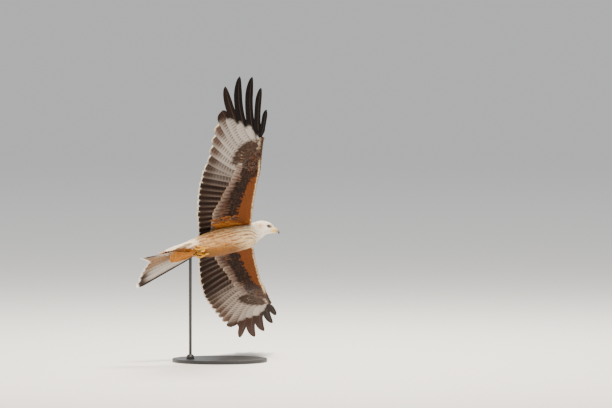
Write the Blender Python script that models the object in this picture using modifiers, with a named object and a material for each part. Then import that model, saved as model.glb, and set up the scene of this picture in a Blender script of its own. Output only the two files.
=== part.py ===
"""A red kite in banked flight on a display stand, life size, as closed solids in metres."""

import math

import bmesh
import bpy
from mathutils import Matrix, Vector

for leftover in list(bpy.data.objects):
    bpy.data.objects.remove(leftover)

# Whole bird. Its own frame has +X forward, +Y to its left wing and +Z out of its back.
# The frame's origin is the middle of the shoulders, in the plane of the wings.
SHOULDER_PLACE = Vector((0.080, 0.020, 0.512))
HEADING = math.radians(9.5)
CLIMB = math.radians(7.7)
BANK_LEFT = math.radians(59.0)
PART_GAP = 0.00035

# Stand
BASE_RADIUS = 0.190
BASE_THICKNESS = 0.014
ROD_RADIUS = 0.006
ROD_PLACE = Vector((-0.117, -0.053))
ROD_TOP = 0.452
COLLAR_RADIUS = 0.016
COLLAR_HEIGHT = 0.018

# Body: along the bird's own X, the height of the back and belly and half the width.
AXIS_DROP = -0.030
AXIS_SLOPE = math.tan(math.radians(6.0))
RING_POINTS = 24
BODY_PROFILE = (
    # x, half height, half width
    (-0.300, 0.006, 0.015),
    (-0.282, 0.012, 0.022),
    (-0.250, 0.020, 0.028),
    (-0.218, 0.028, 0.034),
    (-0.190, 0.036, 0.040),
    (-0.160, 0.044, 0.046),
    (-0.130, 0.050, 0.050),
    (-0.095, 0.053, 0.053),
    (-0.060, 0.052, 0.053),
    (-0.020, 0.051, 0.051),
    (0.015, 0.048, 0.048),
    (0.040, 0.045, 0.044),
)
TRUNK_BACK = -0.190
NECK_BACK = 0.040

# Head, in its own frame with the origin in the middle of the skull.
HEAD_PLACE = Vector((0.104, -0.009, 0.001))
HEAD_YAW = math.radians(4.0)
HEAD_DROP = math.radians(11.0)
HEAD_ROLL = math.radians(-8.0)
HEAD_PROFILE = (
    # x, top of head, chin, half width
    (-0.024, 0.0262, -0.0590, 0.0310),
    (-0.014, 0.0272, -0.0500, 0.0275),
    (-0.004, 0.0272, -0.0385, 0.0245),
    (0.006, 0.0262, -0.0280, 0.0220),
    (0.014, 0.0242, -0.0222, 0.0200),
    (0.022, 0.0206, -0.0190, 0.0172),
    (0.029, 0.0163, -0.0170, 0.0138),
    (0.034, 0.0125, -0.0155, 0.0108),
)
NECK_STEPS = 5
EYE_PLACE = Vector((0.0115, 0.0136, 0.0080))
EYE_RADIUS = 0.0066
CERE_LENGTH = 0.009

# Wings. The plan is flat: u runs out from the bird's middle and v runs forward.
WRIST = Vector((0.262, 0.083))
FRONT_EDGE = (
    (0.020, 0.044),
    (0.070, 0.053),
    (0.150, 0.063),
    (0.235, 0.078),
    (0.285, 0.087),
    (0.340, 0.086),
    (0.400, 0.085),
    (0.466, 0.085),
)
COVERT_LINE = (
    (0.020, -0.120),
    (0.080, -0.112),
    (0.133, -0.095),
    (0.197, -0.058),
    (0.245, -0.036),
    (0.292, -0.014),
    (0.345, -0.009),
    (0.398, -0.005),
    (0.434, 0.016),
    (0.452, 0.045),
    (0.465, 0.072),
)
REAR_EDGE = (
    (0.020, -0.168),
    (0.070, -0.168),
    (0.130, -0.171),
    (0.193, -0.167),
    (0.250, -0.158),
    (0.300, -0.150),
    (0.350, -0.141),
)
# Each pair joins a place on the covert line to one on the primaries' outer edge.
HAND_PAIRS = (
    ((0.2940, -0.0140), (0.3520, -0.1405)),
    ((0.3300, -0.0100), (0.4150, -0.1320)),
    ((0.3550, -0.0085), (0.4850, -0.1220)),
    ((0.3800, -0.0060), (0.5430, -0.1110)),
    ((0.3980, -0.0040), (0.5950, -0.1030)),
    ((0.4080, 0.0000), (0.6120, -0.0900)),
    ((0.4200, 0.0070), (0.5600, -0.0370)),
    ((0.4340, 0.0170), (0.5500, 0.0000)),
    ((0.4470, 0.0370), (0.5570, 0.0385)),
    ((0.4580, 0.0600), (0.5220, 0.0715)),
    ((0.4660, 0.0850), (0.5380, 0.0920)),
)
SCALLOPED_PAIRS = 3
# Fingers: the outer ends of the five longest primaries, from the notches to the tip.
FINGERS = (
    # name, rear notch, front notch, tip, half width at the middle
    ("p6", (0.612, -0.0900), (0.560, -0.0370), (0.713, -0.090), 0.0170),
    ("p7", (0.560, -0.0370), (0.550, 0.0000), (0.755, -0.033), 0.0155),
    ("p8", (0.550, 0.0000), (0.557, 0.0385), (0.751, 0.018), 0.0145),
    ("p9", (0.557, 0.0385), (0.522, 0.0715), (0.700, 0.057), 0.0122),
    ("p10", (0.522, 0.0715), (0.538, 0.0920), (0.598, 0.085), 0.0095),
)
SECONDARIES = 16
SCALLOP = 0.0035
# The wing's pieces start inside the trunk. Arm and hand meet between the two ends of one seam.
WING_ROOT = 0.022
SEAM_FRONT = (0.2885, 0.0870)
SEAM_REAR = (0.2925, -0.0140)
SECONDARY_END = 0.3510
FAN_HALF_ANGLE = math.radians(35.0)
BEND_STEPS = 160
BEND_REACH = 0.80
TIP_BEND_START = 0.42
ROOT_THICKNESS = 0.024
WRIST_THICKNESS = 0.014
COVERT_EDGE_THICKNESS = 0.0030
VANE_THICKNESS = 0.0016
FINGER_THICKNESS = 0.0011
ARM_CAMBER = 0.016
HAND_CAMBER = 0.008

# Tail: a forked fan that is arched across, with its outer feathers low.
TAIL_ROOT = Vector((-0.1022, 0.0, -0.0343))
TAIL_DROOP = math.radians(13.5)
TAIL_TWIST = math.radians(14.5)
TAIL_HALF_FAN = math.radians(15.8)
TAIL_EDGE_DROOP = math.radians(43.8)
TAIL_INNER_LENGTH = 0.297
TAIL_OUTER_LENGTH = 0.380
TAIL_STARTS = 0.122
TAIL_THICKNESS = 0.0022

# Legs, folded back under the tail.
ANKLE_X = -0.140
LEG_OUT = 0.014
LEG_SHIFT = -0.006
THIGH_HALF_SIZES = Vector((0.036, 0.015, 0.014))
TARSUS_RADIUS = 0.0042
TOE_RADIUS = 0.0036
CLAW_RADIUS = 0.0026

COLOURS = {
    "head_feathers": (0.86, 0.80, 0.74),
    "body_feathers": (0.66, 0.43, 0.24),
    "wing_coverts": (0.36, 0.17, 0.07),
    "flight_feathers": (0.11, 0.08, 0.07),
    "tail_feathers": (0.50, 0.33, 0.24),
    "bill": (0.10, 0.09, 0.09),
    "yellow_skin": (0.86, 0.60, 0.06),
    "claw": (0.03, 0.03, 0.03),
    "eye": (0.40, 0.32, 0.14),
    "stand_metal": (0.10, 0.10, 0.11),
}
ROUGHNESS = {"bill": 0.3, "claw": 0.3, "eye": 0.05, "stand_metal": 0.4}


def new_collection(name, hidden=False):
    """A collection of the scene, hidden from the render when it holds cutters."""
    made = bpy.data.collections.new(name)
    bpy.context.scene.collection.children.link(made)
    made.hide_render = hidden
    return made


KITE = new_collection("red_kite")
CUTTERS = new_collection("cutters", hidden=True)


def material(name):
    """The material of one kind of surface."""
    if name in bpy.data.materials:
        return bpy.data.materials[name]
    made = bpy.data.materials.new(name)
    made.use_nodes = True
    shader = made.node_tree.nodes["Principled BSDF"]
    shader.inputs["Base Color"].default_value = (*COLOURS[name], 1.0)
    shader.inputs["Roughness"].default_value = ROUGHNESS.get(name, 0.75)
    shader.inputs["Metallic"].default_value = 1.0 if name == "stand_metal" else 0.0
    return made


def empty(name, matrix, parent=None):
    """An empty that carries a frame of the model."""
    made = bpy.data.objects.new(name, None)
    KITE.objects.link(made)
    made.parent = parent
    made.matrix_world = matrix
    return made


BIRD_MATRIX = (
    Matrix.Translation(SHOULDER_PLACE)
    @ Matrix.Rotation(HEADING, 4, "Z")
    @ Matrix.Rotation(-CLIMB, 4, "Y")
    @ Matrix.Rotation(-BANK_LEFT, 4, "X")
)
# The head stays level while the body banks.
HEAD_MATRIX = (
    Matrix.Translation(BIRD_MATRIX @ HEAD_PLACE)
    @ Matrix.Rotation(HEAD_YAW, 4, "Z")
    @ Matrix.Rotation(HEAD_DROP, 4, "Y")
    @ Matrix.Rotation(HEAD_ROLL, 4, "X")
)
HEAD_IN_BIRD = BIRD_MATRIX.inverted() @ HEAD_MATRIX
BIRD = empty("bird_frame", BIRD_MATRIX)
HEAD = empty("head_frame", HEAD_MATRIX)


def add_object(name, mesh, finish, parent=None, collection=KITE):
    """One named object for a mesh, smooth where its faces meet gently."""
    made = bpy.data.objects.new(name, mesh)
    collection.objects.link(made)
    made.parent = parent
    if finish:
        mesh.materials.append(material(finish))
        mesh.shade_smooth()
        mesh.set_sharp_from_angle(angle=math.radians(50))
    return made


def mesh_from(name, bm):
    """A mesh from a bmesh, with its faces pointing out."""
    bmesh.ops.recalc_face_normals(bm, faces=bm.faces)
    mesh = bpy.data.meshes.new(name)
    bm.to_mesh(mesh)
    bm.free()
    return mesh


def loft_mesh(name, rings):
    """A closed skin through rings that have the same number of points."""
    bm = bmesh.new()
    rows = [[bm.verts.new(point) for point in ring] for ring in rings]
    count = len(rows[0])
    for back, front in zip(rows, rows[1:]):
        for i in range(count):
            j = (i + 1) % count
            bm.faces.new((back[i], back[j], front[j], front[i]))
    bm.faces.new(rows[0])
    bm.faces.new(rows[-1])
    return mesh_from(name, bm)


def cut(target, cutter):
    """Takes the cutter's shape out of the target and keeps the result as its mesh."""
    boolean = target.modifiers.new("clearance", "BOOLEAN")
    boolean.operation = "DIFFERENCE"
    boolean.solver = "EXACT"
    boolean.object = cutter
    bpy.context.view_layer.update()
    graph = bpy.context.evaluated_depsgraph_get()
    mesh = bpy.data.meshes.new_from_object(target.evaluated_get(graph))
    target.modifiers.clear()
    target.data = mesh


def largest_piece(target):
    """Keeps the largest connected piece of a mesh that a cut has parted."""
    bm = bmesh.new()
    bm.from_mesh(target.data)
    left = set(bm.verts)
    groups = []
    while left:
        group, queue = set(), [left.pop()]
        while queue:
            vert = queue.pop()
            group.add(vert)
            near = {edge.other_vert(vert) for edge in vert.link_edges} & left
            left -= near
            queue.extend(near)
        groups.append(group)
    keep = max(groups, key=len)
    bmesh.ops.delete(bm, geom=[v for v in bm.verts if v not in keep], context="VERTS")
    bm.to_mesh(target.data)
    bm.free()


def along(points, x):
    """The values of a table of points at x, on a smooth curve through them."""
    last = len(points) - 1
    i = max(k for k in range(last) if k == 0 or points[k][0] <= x)
    p1, p2 = points[i], points[i + 1]
    p0, p3 = points[max(i - 1, 0)], points[min(i + 2, last)]
    span = p2[0] - p1[0]
    t = min(max((x - p1[0]) / span, 0.0), 1.0)
    values = []
    for k in range(1, len(p1)):
        m1 = (p2[k] - p0[k]) / (p2[0] - p0[0]) * span
        m2 = (p3[k] - p1[k]) / (p3[0] - p1[0]) * span
        values.append(
            (2 * t**3 - 3 * t**2 + 1) * p1[k]
            + (t**3 - 2 * t**2 + t) * m1
            + (3 * t**2 - 2 * t**3) * p2[k]
            + (t**3 - t**2) * m2
        )
    return values


def ring(centre, side, up, half_width, half_height):
    """An oval ring of points, starting at the bird's left."""
    turns = [2 * math.pi * i / RING_POINTS for i in range(RING_POINTS)]
    return [centre + side * (half_width * math.cos(a)) + up * (half_height * math.sin(a)) for a in turns]


def body_ring(x, grow=0.0):
    """The ring of the trunk and rump at x."""
    half_height, half_width = along(BODY_PROFILE, x)
    centre = Vector((x, 0.0, AXIS_DROP + AXIS_SLOPE * x))
    return ring(centre, Vector((0, 1, 0)), Vector((0, 0, 1)), half_width + grow, half_height + grow)


def head_ring(x, grow=0.0):
    """The ring of the head at x, as points in the bird's frame."""
    top, chin, half_width = along(HEAD_PROFILE, x)
    centre = HEAD_IN_BIRD @ Vector((x, 0.0, (top + chin) / 2))
    turn = HEAD_IN_BIRD.to_3x3()
    return ring(centre, turn @ Vector((0, 1, 0)), turn @ Vector((0, 0, 1)), half_width + grow, (top - chin) / 2 + grow)


def neck_ring(share, grow=0.0):
    """A ring between the trunk's front, at share 0, and the back of the head, at share 1."""
    body = body_ring(NECK_BACK, grow)
    head = head_ring(HEAD_PROFILE[0][0], grow)
    fuller = 1 + 0.09 * math.sin(math.pi * share)
    points = [b.lerp(h, share) for b, h in zip(body, head)]
    centre = sum(points, Vector()) / len(points)
    return [centre + (p - centre) * fuller for p in points]


def spread(start, end, count):
    """Evenly spaced values from start to end."""
    return [start + (end - start) * i / (count - 1) for i in range(count)]


def parted(rings):
    """Rings whose first is moved a little along the loft, for a thin parting gap."""
    first = [a.lerp(b, PART_GAP / max((b - a).length, PART_GAP)) for a, b in zip(rings[0], rings[1])]
    return [first, *rings[1:]]


def build_flesh():
    """Rump, trunk, neck and head, modelled whole and parted by thin gaps. Returns the cutter of all four."""
    rump = [body_ring(x) for x in spread(BODY_PROFILE[0][0], TRUNK_BACK, 8)]
    trunk = [body_ring(x) for x in spread(TRUNK_BACK, NECK_BACK, 11)]
    neck = [neck_ring(share) for share in spread(0.0, 1.0, NECK_STEPS)]
    head = [head_ring(x) for x in spread(HEAD_PROFILE[0][0], HEAD_PROFILE[-1][0], 13)]
    for name, rings, finish in (
        ("rump", rump, "body_feathers"),
        ("trunk", parted(trunk), "body_feathers"),
        ("neck", parted(neck), "head_feathers"),
        ("head", parted(head), "head_feathers"),
    ):
        add_object(name, loft_mesh(name, rings), finish, BIRD)
    grow = PART_GAP
    wide = [body_ring(x, grow) for x in spread(BODY_PROFILE[0][0] - grow, NECK_BACK, 19)]
    wide += [neck_ring(share, grow) for share in spread(0.0, 1.0, NECK_STEPS)[1:]]
    wide += [head_ring(x, grow) for x in spread(HEAD_PROFILE[0][0], HEAD_PROFILE[-1][0], 13)[1:]]
    return add_object("flesh_cutter", loft_mesh("flesh_cutter", wide), None, BIRD, CUTTERS)


def ball(name, radius, place, finish, parent, collection=KITE):
    """A round ball."""
    bm = bmesh.new()
    bmesh.ops.create_uvsphere(bm, u_segments=14, v_segments=9, radius=radius)
    made = add_object(name, mesh_from(name, bm), finish, parent, collection)
    made.location = place
    return made


def build_eyes():
    """Two eyeballs in sockets that are cut in the head."""
    for name, sign in (("eye_left", 1), ("eye_right", -1)):
        place = Vector((EYE_PLACE.x, sign * EYE_PLACE.y, EYE_PLACE.z))
        ball(name, EYE_RADIUS, place, "eye", HEAD)
        socket = ball(name + "_socket", EYE_RADIUS + PART_GAP, place, None, HEAD, CUTTERS)
        cut(bpy.data.objects["head"], socket)


def bill_ring(x, z, half_width, half_height, lean):
    """A ring of the bill, leaning forward as the bill curves down."""
    up = Vector((math.sin(lean), 0.0, math.cos(lean)))
    return ring(Vector((x, 0.0, z)), Vector((0, 1, 0)), up, half_width, half_height)[::2]


def build_bill():
    """The cere, the hooked upper bill and the lower bill, in the head's frame."""
    front, (top, chin, half_width) = HEAD_PROFILE[-1][0], HEAD_PROFILE[-1][1:]
    start = front + PART_GAP
    cere = [
        bill_ring(start, 0.0020, half_width * 0.86, 0.0074, 0.0),
        bill_ring(start + CERE_LENGTH * 0.5, 0.0017, half_width * 0.78, 0.0073, 0.05),
        bill_ring(start + CERE_LENGTH, 0.0012, half_width * 0.66, 0.0069, 0.12),
    ]
    hook_start = start + CERE_LENGTH + PART_GAP
    hook = [
        bill_ring(hook_start, 0.0012, half_width * 0.63, 0.0066, 0.12),
        bill_ring(hook_start + 0.0050, -0.0002, 0.0050, 0.0060, 0.32),
        bill_ring(hook_start + 0.0098, -0.0028, 0.0040, 0.0050, 0.60),
        bill_ring(hook_start + 0.0136, -0.0062, 0.0030, 0.0038, 0.95),
        bill_ring(hook_start + 0.0160, -0.0098, 0.0020, 0.0025, 1.25),
        bill_ring(hook_start + 0.0168, -0.0132, 0.0010, 0.0012, 1.45),
        bill_ring(hook_start + 0.0170, -0.0150, 0.0003, 0.0004, 1.50),
    ]
    lower = [
        bill_ring(start, -0.0095, half_width * 0.80, 0.0036, 0.0),
        bill_ring(start + 0.0070, -0.0093, 0.0058, 0.0030, 0.0),
        bill_ring(start + 0.0130, -0.0092, 0.0042, 0.0020, 0.0),
        bill_ring(start + 0.0165, -0.0094, 0.0020, 0.0010, 0.0),
    ]
    add_object("cere", loft_mesh("cere", cere), "yellow_skin", HEAD)
    add_object("bill_upper", loft_mesh("bill_upper", hook), "bill", HEAD)
    lower_bill = add_object("bill_lower", loft_mesh("bill_lower", lower), "bill", HEAD)
    for index, rings in enumerate((cere, hook)):
        wide = []
        for points in rings:
            centre = sum(points, Vector()) / len(points)
            wide.append([p + (p - centre).normalized() * PART_GAP for p in points])
        cutter = add_object(f"bill_cutter_{index}", loft_mesh("bill_cutter", wide), None, HEAD, CUTTERS)
        cut(lower_bill, cutter)


class Wing:
    """One wing's bend: how far its arm and hand are raised, and how the hand is swept."""

    def __init__(self, name, sign, arm_rise, hand_rise, tip_curl, sweep):
        self.name = name
        self.sign = sign
        self.sweep = math.radians(sweep)
        self.knots = (
            (0.0, math.radians(arm_rise)),
            (WRIST.x - 0.030, math.radians(arm_rise)),
            (WRIST.x + 0.050, math.radians(hand_rise)),
        )
        self.tip_curl = math.radians(tip_curl)
        step = BEND_REACH / BEND_STEPS
        self.spine = [(0.0, 0.0)]
        for i in range(BEND_STEPS):
            rise = self.rise((i + 0.5) * step)
            out, up = self.spine[-1]
            self.spine.append((out + step * math.cos(rise), up + step * math.sin(rise)))

    def rise(self, u):
        """The slope of the wing at u."""
        (_, arm), (inner, _), (outer, hand) = self.knots
        share = min(max((u - inner) / (outer - inner), 0.0), 1.0)
        return arm + (hand - arm) * share + self.tip_curl * max(u - TIP_BEND_START, 0.0)

    def swept(self, u, v):
        """The plan turned about the wrist, as a fan that opens behind it."""
        away = Vector((u, v)) - WRIST
        turn = math.atan2(away.x, -away.y)
        share = min(max((turn + FAN_HALF_ANGLE) / (2 * FAN_HALF_ANGLE), 0.0), 1.0)
        angle = self.sweep * share * share * (3 - 2 * share)
        c, s = math.cos(angle), math.sin(angle)
        return WRIST.x + away.x * c + away.y * s, WRIST.y - away.x * s + away.y * c

    def place(self, u, v, lift):
        """The point of the bird's frame for a point of the plan, lifted off the wing's sheet."""
        lift += camber(u, v)
        u, v = self.swept(u, v)
        u = max(u, 0.0)
        at = min(u / BEND_REACH, 1.0) * BEND_STEPS
        i = min(int(at), BEND_STEPS - 1)
        (out0, up0), (out1, up1) = self.spine[i], self.spine[i + 1]
        share = at - i
        rise = self.rise(u)
        out = out0 + (out1 - out0) * share - math.sin(rise) * lift
        up = up0 + (up1 - up0) * share + math.cos(rise) * lift
        return Vector((v, self.sign * out, up))


def edge_at(points, u):
    """The v of an edge of the plan at u."""
    return along(points, min(max(u, points[0][0]), points[-1][0]))[0]


def camber(u, v):
    """How far the wing's sheet arches up between its front and rear edge."""
    front = edge_at(FRONT_EDGE, u)
    rear = edge_at(REAR_EDGE, u)
    share = min(max((front - v) / (front - rear), 0.0), 1.0)
    hand = min(max((u - 0.25) / 0.15, 0.0), 1.0)
    arch = ARM_CAMBER + (HAND_CAMBER - ARM_CAMBER) * hand
    outer = min(max((0.62 - u) / 0.20, 0.0), 1.0)
    return arch * outer * 4 * share * (1 - share) ** 1.3


def arm_thickness(u, share):
    """The wing's thickness behind its front edge: blunt in front and thin behind."""
    root = ROOT_THICKNESS + (WRIST_THICKNESS - ROOT_THICKNESS) * min(u / WRIST.x, 1.0)
    outer = 1 - 0.62 * min(max((u - WRIST.x) / 0.20, 0.0), 1.0)
    nose = math.sqrt(min(share / 0.16, 1.0))
    fall = 1 - 0.80 * max(share - 0.16, 0.0) / 0.84
    return max(root * outer * nose * fall, COVERT_EDGE_THICKNESS)


def plate_mesh(name, columns, wing, thickness):
    """A closed curved plate. Each column is a list of plan points from front to rear."""
    bm = bmesh.new()
    grids = []
    for half in (0.5, -0.5):
        grid = []
        for column in columns:
            row = []
            for r, (u, v) in enumerate(column):
                share = r / (len(column) - 1)
                row.append(bm.verts.new(wing.place(u, v, half * thickness(u, share))))
            grid.append(row)
        grids.append(grid)
    top, bottom = grids
    for c in range(len(columns) - 1):
        for r in range(len(columns[c]) - 1):
            bm.faces.new((top[c][r], top[c][r + 1], top[c + 1][r + 1], top[c + 1][r]))
            bm.faces.new((bottom[c][r], bottom[c + 1][r], bottom[c + 1][r + 1], bottom[c][r + 1]))
        for r in (0, -1):
            bm.faces.new((top[c][r], top[c + 1][r], bottom[c + 1][r], bottom[c][r]))
    for c in (0, -1):
        for r in range(len(columns[c]) - 1):
            bm.faces.new((top[c][r], top[c][r + 1], bottom[c][r + 1], bottom[c][r]))
    return mesh_from(name, bm)


def between(front, rear, count, back_off=0.0, ahead=0.0):
    """Points from a front to a rear point, a little short of each where a gap is wanted."""
    front, rear = Vector(front), Vector(rear)
    step = (rear - front).normalized()
    front, rear = front + step * ahead, rear - step * back_off
    return [tuple(front.lerp(rear, i / (count - 1))) for i in range(count)]


def build_arm(wing, cutter):
    """The fleshy front of the wing from the shoulder to the wrist."""
    columns = []
    fronts = spread(WING_ROOT, SEAM_FRONT[0] - 0.0005, 13)
    rears = spread(WING_ROOT, SEAM_REAR[0] - 0.0005, 13)
    for u, rear_u in zip(fronts, rears):
        columns.append(between((u, edge_at(FRONT_EDGE, u)), (rear_u, edge_at(COVERT_LINE, rear_u)), 7, PART_GAP))
    name = f"wing_{wing.name}_arm"
    mesh = plate_mesh(name, columns, wing, arm_thickness)
    cut(add_object(name, mesh, "wing_coverts", BIRD), cutter)


def build_hand(wing):
    """The fleshy front of the wing from the wrist to the end of the hand."""
    columns = [between(SEAM_FRONT, SEAM_REAR, 6, PART_GAP)]
    fronts = spread(0.305, 0.4625, 9)
    rears = [pair[0] for pair in HAND_PAIRS[1:10]]
    for u, rear in zip(fronts, rears):
        columns.append(between((u, edge_at(FRONT_EDGE, u)), rear, 6, PART_GAP))
    name = f"wing_{wing.name}_hand"
    mesh = plate_mesh(name, columns, wing, arm_thickness)
    add_object(name, mesh, "wing_coverts", BIRD)


def build_secondaries(wing, cutter):
    """The feathers along the arm, one plate with a scalloped rear edge."""
    columns = []
    count = SECONDARIES * 2 + 1
    for i in range(count):
        share = i / (count - 1)
        front_u = WING_ROOT + (SEAM_REAR[0] + 0.0005 - WING_ROOT) * share
        rear_u = WING_ROOT + (SECONDARY_END - WING_ROOT) * share
        rear_v = edge_at(REAR_EDGE, rear_u) + SCALLOP * (1 - i % 2)
        columns.append(between((front_u, edge_at(COVERT_LINE, front_u)), (rear_u, rear_v), 4, 0.0, 3 * PART_GAP))
    name = f"wing_{wing.name}_secondaries"
    fall = VANE_THICKNESS - COVERT_EDGE_THICKNESS
    mesh = plate_mesh(name, columns, wing, lambda u, share: COVERT_EDGE_THICKNESS + fall * share)
    cut(add_object(name, mesh, "flight_feathers", BIRD), cutter)


def build_primaries(wing):
    """The joined bases of the feathers on the hand, out to the notches between the fingers."""
    columns = []
    for i, (front, rear) in enumerate(HAND_PAIRS):
        shift = 2 * PART_GAP if i == 0 else 0.0
        column = between(front, rear, 5, PART_GAP, 2 * PART_GAP)
        columns.append([(u + shift, v) for u, v in column])
        if i < SCALLOPED_PAIRS:
            following = HAND_PAIRS[i + 1]
            middle_front = tuple((Vector(front) + Vector(following[0])) / 2)
            middle_rear = (Vector(rear) + Vector(following[1])) / 2 + Vector((0.0, -SCALLOP))
            columns.append(between(middle_front, tuple(middle_rear), 5, PART_GAP, 2 * PART_GAP))
    name = f"wing_{wing.name}_primaries"
    fall = VANE_THICKNESS - COVERT_EDGE_THICKNESS
    mesh = plate_mesh(name, columns, wing, lambda u, share: COVERT_EDGE_THICKNESS + fall * share)
    add_object(name, mesh, "flight_feathers", BIRD)


def build_finger(wing, name, rear, front, tip, half_width):
    """The free end of one long primary."""
    rear, front, tip = Vector(rear), Vector(front), Vector(tip)
    base = (rear + front) / 2
    run = (tip - base).normalized()
    across = Vector((-run.y, run.x))
    columns = []
    for share in (0.0, 0.12, 0.3, 0.5, 0.68, 0.82, 0.92, 0.98, 1.0):
        middle = base.lerp(tip, share)
        blade = half_width * math.sqrt(max(1 - share**3, 0.02))
        blend = min(share / 0.3, 1.0)
        blend = blend * blend * (3 - 2 * blend)
        fore = (front + run * (share * (tip - base).length)).lerp(middle + across * blade, blend)
        aft = (rear + run * (share * (tip - base).length)).lerp(middle - across * blade, blend)
        if share == 0.0:
            fore, aft = fore + run * PART_GAP - across * PART_GAP, aft + run * PART_GAP + across * PART_GAP
        columns.append([tuple(fore.lerp(aft, k / 2)) for k in range(3)])
    label = f"wing_{wing.name}_{name}"
    mesh = plate_mesh(label, columns, wing, lambda u, share: FINGER_THICKNESS)
    add_object(label, mesh, "flight_feathers", BIRD)


def build_wing(wing, cutter):
    """Every piece of one wing."""
    build_arm(wing, cutter)
    build_hand(wing)
    build_secondaries(wing, cutter)
    build_primaries(wing)
    for finger in FINGERS:
        build_finger(wing, *finger)


def tail_point(reach, fan, lift):
    """A point of the tail, which is a cone round its root that droops at its sides."""
    turn = abs(fan) / TAIL_HALF_FAN * TAIL_EDGE_DROOP
    rate = TAIL_EDGE_DROOP / TAIL_HALF_FAN
    out = math.sin(turn) / rate * math.copysign(1.0, fan)
    down = (1 - math.cos(turn)) / rate
    along_axis = reach * math.cos(fan)
    local = Vector((-along_axis, reach * out, -reach * down))
    normal = Vector((0.0, math.sin(turn) * math.copysign(1.0, fan), math.cos(turn)))
    turned = Matrix.Rotation(-TAIL_DROOP, 3, "Y") @ Matrix.Rotation(TAIL_TWIST, 3, "X")
    return TAIL_ROOT + turned @ (local + normal * lift)


def tail_length(fan):
    """How far the tail reaches at an angle of its fan: least in the middle, where it is forked."""
    share = abs(fan) / TAIL_HALF_FAN
    return TAIL_INNER_LENGTH + (TAIL_OUTER_LENGTH - TAIL_INNER_LENGTH) * share**1.25


def build_tail(cutter):
    """The two sides of the forked tail."""
    for name, sign in (("tail_left", 1), ("tail_right", -1)):
        fans = [sign * TAIL_HALF_FAN * share for share in spread(0.006, 1.0, 13)]
        bm = bmesh.new()
        grids = []
        for half in (0.5, -0.5):
            grid = []
            for fan in fans:
                reaches = spread(TAIL_STARTS, tail_length(fan), 6)
                grid.append([bm.verts.new(tail_point(reach, fan, half * TAIL_THICKNESS)) for reach in reaches])
            grids.append(grid)
        top, bottom = grids
        for c in range(len(fans) - 1):
            for r in range(5):
                bm.faces.new((top[c][r], top[c][r + 1], top[c + 1][r + 1], top[c + 1][r]))
                bm.faces.new((bottom[c][r], bottom[c + 1][r], bottom[c + 1][r + 1], bottom[c][r + 1]))
            for r in (0, -1):
                bm.faces.new((top[c][r], top[c + 1][r], bottom[c + 1][r], bottom[c][r]))
        for c in (0, -1):
            for r in range(5):
                bm.faces.new((top[c][r], top[c][r + 1], bottom[c][r + 1], bottom[c][r]))
        made = add_object(name, mesh_from(name, bm), "tail_feathers", BIRD)
        cut(made, cutter)
        largest_piece(made)


def tube(name, points, radii, finish, parent=BIRD, collection=KITE):
    """A tapered tube through points, as a mesh with welded ends."""
    curve = bpy.data.curves.new(name, "CURVE")
    curve.dimensions = "3D"
    curve.bevel_depth = 1.0
    curve.bevel_resolution = 1
    curve.use_fill_caps = True
    line = curve.splines.new("POLY")
    line.points.add(len(points) - 1)
    for node, point, radius in zip(line.points, points, radii):
        node.co = (*point, 1.0)
        node.radius = radius
    holder = bpy.data.objects.new(name + "_curve", curve)
    KITE.objects.link(holder)
    holder.parent = parent
    bpy.context.view_layer.update()
    graph = bpy.context.evaluated_depsgraph_get()
    mesh = bpy.data.meshes.new_from_object(holder.evaluated_get(graph))
    bpy.data.objects.remove(holder)
    bm = bmesh.new()
    bm.from_mesh(mesh)
    bmesh.ops.remove_doubles(bm, verts=bm.verts, dist=0.00002)
    bmesh.ops.recalc_face_normals(bm, faces=bm.faces)
    bm.to_mesh(mesh)
    bm.free()
    mesh.materials.clear()
    return add_object(name, mesh, finish, parent, collection)


def belly_point(x, out, below):
    """A point under the belly, from how far out it is and how far below the surface."""
    half_height, half_width = along(BODY_PROFILE, x)
    share = min(abs(out) / half_width, 0.95)
    surface = half_height * math.sqrt(1 - share**2)
    return Vector((x, out, AXIS_DROP + AXIS_SLOPE * x - surface - below))


# Toes, as distances behind the ankle, out from the foot's middle and below the belly.
TOES = (
    # toe, path of (back, out, below), claw path
    (
        "middle",
        ((0.028, 0.000, 0.009), (0.042, 0.001, 0.0150), (0.055, 0.001, 0.0130), (0.062, 0.000, 0.0070)),
        ((0.0632, -0.0002, 0.0055), (0.0690, -0.0010, 0.0030), (0.0735, -0.0020, 0.0012), (0.0765, -0.0030, 0.0002)),
    ),
    (
        "outer",
        ((0.028, 0.003, 0.009), (0.039, 0.0095, 0.0140), (0.049, 0.0105, 0.0120), (0.055, 0.0085, 0.0065)),
        ((0.0562, 0.0080, 0.0050), (0.0620, 0.0065, 0.0028), (0.0665, 0.0050, 0.0012), (0.0695, 0.0035, 0.0004)),
    ),
    (
        "inner",
        ((0.028, -0.003, 0.009), (0.038, -0.008, 0.0140), (0.047, -0.0088, 0.0120), (0.053, -0.0078, 0.0065)),
        ((0.0543, -0.0074, 0.0050), (0.0605, -0.0066, 0.0028), (0.0655, -0.0058, 0.0012), (0.0690, -0.0050, 0.0004)),
    ),
    (
        "hind",
        ((0.026, 0.000, 0.008), (0.025, -0.003, 0.0145), (0.031, -0.004, 0.0195), (0.039, -0.004, 0.0205)),
        ((0.0412, -0.0040, 0.0205), (0.0465, -0.0040, 0.0195), (0.0510, -0.0045, 0.0165), (0.0520, -0.0050, 0.0125)),
    ),
)


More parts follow.
